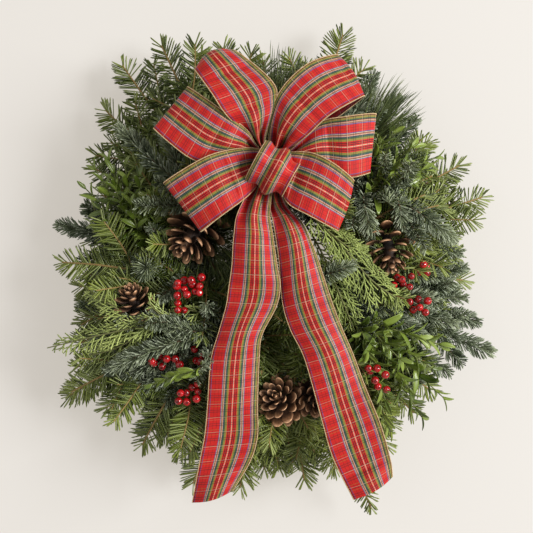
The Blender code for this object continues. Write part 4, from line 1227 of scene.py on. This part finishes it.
# loop, edges out from the knot as (x, z, depth), pleats
LOOPS = [
    ("left",
     [(-0.021, 0.155, 0.158), (-0.030, 0.169, 0.168), (-0.062, 0.193, 0.180), (-0.100, 0.221, 0.164)],
     [(-0.031, 0.143, 0.158), (-0.068, 0.131, 0.168), (-0.097, 0.134, 0.174), (-0.141, 0.170, 0.164)], 2.0),
    ("top_left",
     [(-0.008, 0.160, 0.156), (0.006, 0.203, 0.174), (-0.001, 0.227, 0.180), (-0.044, 0.265, 0.166)],
     [(-0.027, 0.161, 0.158), (-0.054, 0.185, 0.182), (-0.071, 0.210, 0.186), (-0.092, 0.241, 0.168)], 2.0),
    ("top_right",
     [(-0.002, 0.159, 0.156), (0.007, 0.208, 0.176), (0.041, 0.244, 0.182), (0.080, 0.261, 0.160)],
     [(0.020, 0.146, 0.160), (0.041, 0.159, 0.182), (0.070, 0.184, 0.190), (0.110, 0.208, 0.176)], 2.5),
    ("right",
     [(0.024, 0.146, 0.156), (0.055, 0.176, 0.172), (0.090, 0.183, 0.182), (0.125, 0.188, 0.170)],
     [(0.022, 0.130, 0.156), (0.061, 0.120, 0.166), (0.091, 0.111, 0.172), (0.119, 0.118, 0.160)], 2.5),
    ("lower_left",
     [(-0.014, 0.144, 0.162), (-0.038, 0.145, 0.178), (-0.077, 0.134, 0.190), (-0.127, 0.106, 0.176)],
     [(-0.010, 0.108, 0.162), (-0.030, 0.087, 0.178), (-0.057, 0.066, 0.188), (-0.084, 0.047, 0.174)], 1.5),
    ("lower_right",
     [(0.018, 0.140, 0.162), (0.045, 0.140, 0.182), (0.072, 0.127, 0.190), (0.098, 0.108, 0.176)],
     [(0.008, 0.100, 0.162), (0.021, 0.079, 0.176), (0.045, 0.065, 0.182), (0.079, 0.048, 0.168)], 1.5),
]
for loop_name, front_a, front_b, pleats in LOOPS:
    sew_ribbon(f"ribbon_loop_{loop_name}", f"bow_loop_{loop_name}", loop_edges(front_a),
               loop_edges(front_b), pleats, loop_slack, "gathered", ["bow_pinch"])

# the small loop over the knot hides the tie: it is rolled round an axis that runs down to the right
ROLL_AXIS = Vector((0.876, 0, -0.482))
ROLL_UP = Vector((0.482, 0, 0.876))
# height over the roll's axis and depth, from the knot over the front and back to the knot
ROLL_TURN = [(0.004, 0.156), (0.018, 0.166), (0.021, 0.182), (0.004, 0.197), (-0.017, 0.190),
             (-0.025, 0.172), (-0.006, 0.158)]
roll_edges = []
for along, swell, forward in ((-0.024, 1.0, 0.004), (0.024, 0.86, -0.004)):
    across = [ROLL_AXIS * along + ROLL_UP * rise * swell for rise, depth in ROLL_TURN]
    roll_edges.append([(0.003 + spot.x, 0.121 + spot.z, depth + forward)
                       for spot, (rise, depth) in zip(across, ROLL_TURN)])
sew_ribbon("ribbon_centre_loop", "bow_centre_loop", *roll_edges, 2.0,
           lambda share: 0.45 + 0.4 * np.abs(share - 0.5), "gathered", ["bow_pinch"])

# the two tails hang from the knot and spread; each ends in a plain slanting cut
# tail, rows of (height, left edge, right edge, depth), then the bottom corners' heights
TAILS = [
    ("right", [(0.118, -0.004, 0.012, 0.150), (0.081, -0.003, 0.018, 0.151), (0.058, 0.002, 0.0375, 0.151),
               (0.036, 0.006, 0.0485, 0.150), (0.010, 0.0095, 0.058, 0.150), (-0.039, 0.0135, 0.074, 0.148),
               (-0.072, 0.023, 0.087, 0.145), (-0.104, 0.039, 0.101, 0.142), (-0.145, 0.0515, 0.1165, 0.140),
               (-0.191, 0.064, 0.135, 0.138), (-0.234, 0.077, 0.147, 0.136)],
     (0.1015, -0.283, 0.140), (0.151, -0.257, 0.130)),
    ("left", [(0.118, -0.014, 0.006, 0.156), (0.072, -0.040, -0.002, 0.158), (0.041, -0.0455, 0.002, 0.158),
              (0.006, -0.048, 0.007, 0.156), (-0.019, -0.0517, 0.0106, 0.154),
              (-0.044, -0.0555, 0.006, 0.152), (-0.079, -0.0654, -0.0114, 0.150),
              (-0.110, -0.074, -0.015, 0.147), (-0.165, -0.0785, -0.017, 0.143),
              (-0.203, -0.0823, -0.017, 0.140), (-0.234, -0.088, -0.0255, 0.138)],
     (-0.098, -0.288, 0.134), (-0.0475, -0.273, 0.134)),
]
for tail_name, rows, corner_a, corner_b in TAILS:
    edge_a = [(left, height, depth + 0.004 * math.sin(height * 40)) for height, left, right, depth in rows]
    edge_b = [(right, height, depth - 0.004 * math.sin(height * 34)) for height, left, right, depth in rows]
    sew_ribbon(f"ribbon_tail_{tail_name}", f"bow_tail_{tail_name}", edge_b + [corner_b],
               edge_a + [corner_a], 2.0, lambda share: np.clip(1.2 - share * 6.0, 0, 1), "hung",
               ["bow_tie_wire"])
# the same cloth gathered tight inside the knot, painted plain dark red with noise patches as painted shade in
# its folds
core_cloth, tree, shader = new_material("ribbon core in painted shade")
# noise between dark and darker red stands for the shade in the gathered folds: painted shade
painted_fold_shade = mixed(tree, noise_on(tree, 120.0), (0.10, 0.004, 0.004), (0.42, 0.012, 0.012))
fill_inputs(tree, shader, {"Base Color": painted_fold_shade, "Roughness": 0.7})
coat(["bow_pinch"], core_cloth)

# ---------------------------------------------------------------- wall, lights and camera
# A plain pale wall stands just behind the wreath, lit by one large soft window on the right
# and a weak fill from the left.
VIEW_MIDDLE = CENTRE + Vector((-0.0059, 0, 0.0046))
VIEW_HALF_WIDTH = 0.352
CAMERA_REACH = 1.2
MIDDLE_DEPTH = 0.06
SENSOR = 36
bm = bmesh.new()
bmesh.ops.create_grid(bm, x_segments=1, y_segments=1, size=3.0)
bmesh.ops.rotate(bm, verts=bm.verts, cent=(0, 0, 0), matrix=Matrix.Rotation(math.pi / 2, 3, "X"))
bmesh.ops.translate(bm, verts=bm.verts, vec=(0, 0.004, CENTRE.z))
wall = bpy.data.objects.new("wall", mesh_of("wall", bm))
bpy.context.scene.collection.objects.link(wall)
material, tree, shader = new_material("pale wall paint")
fill_inputs(tree, shader, {
    "Base Color": (0.32, 0.325, 0.33, 1), "Roughness": 0.9,
    "Emission Color": (1.0, 0.915, 0.80, 1), "Emission Strength": 0.46})
# seen from behind, the wall is clear
behind = add_node(tree, "ShaderNodeNewGeometry").outputs["Backfacing"]
clear = add_node(tree, "ShaderNodeBsdfTransparent").outputs["BSDF"]
either = add_node(tree, "ShaderNodeMixShader", {"Fac": behind, 1: shader.outputs["BSDF"], 2: clear})
fill_inputs(tree, tree.nodes["Material Output"], {"Surface": either.outputs["Shader"]})
wall.data.materials.append(material)
wall.visible_shadow = False


def add_light(name, position, size, power, colour):
    light = bpy.data.lights.new(name, "AREA")
    light.shape = "SQUARE"
    light.size = size
    light.energy = power
    light.color = colour
    lamp = bpy.data.objects.new(name, light)
    lamp.location = position
    lamp.rotation_euler = (VIEW_MIDDLE - Vector(position)).to_track_quat("-Z", "Y").to_euler()
    bpy.context.scene.collection.objects.link(lamp)


add_light("window", (3.6, -3.1, 0.26), 1.9, 284, (1.0, 0.98, 0.955))
add_light("fill", (-1.9, -1.9, 0.0), 2.2, 9, (1.0, 0.985, 0.965))
add_light("behind", (0.6, 2.0, 0.4), 1.5, 10, (1.0, 0.985, 0.965))
world = bpy.data.worlds.new("room")
world.use_nodes = True
fill_inputs(world.node_tree, world.node_tree.nodes["Background"],
            {"Color": (1.0, 0.98, 0.96, 1), "Strength": 0.38})
bpy.context.scene.world = world

lens = bpy.data.cameras.new("camera")
lens.sensor_width = SENSOR
lens.lens = SENSOR / 2 * CAMERA_REACH / VIEW_HALF_WIDTH
camera = bpy.data.objects.new("camera", lens)
camera.location = VIEW_MIDDLE + Vector((0, -MIDDLE_DEPTH - CAMERA_REACH, 0))
camera.rotation_euler = (math.pi / 2, 0, 0)
bpy.context.scene.collection.objects.link(camera)
bpy.context.scene.camera = camera
bpy.context.scene.view_settings.view_transform = "Standard"
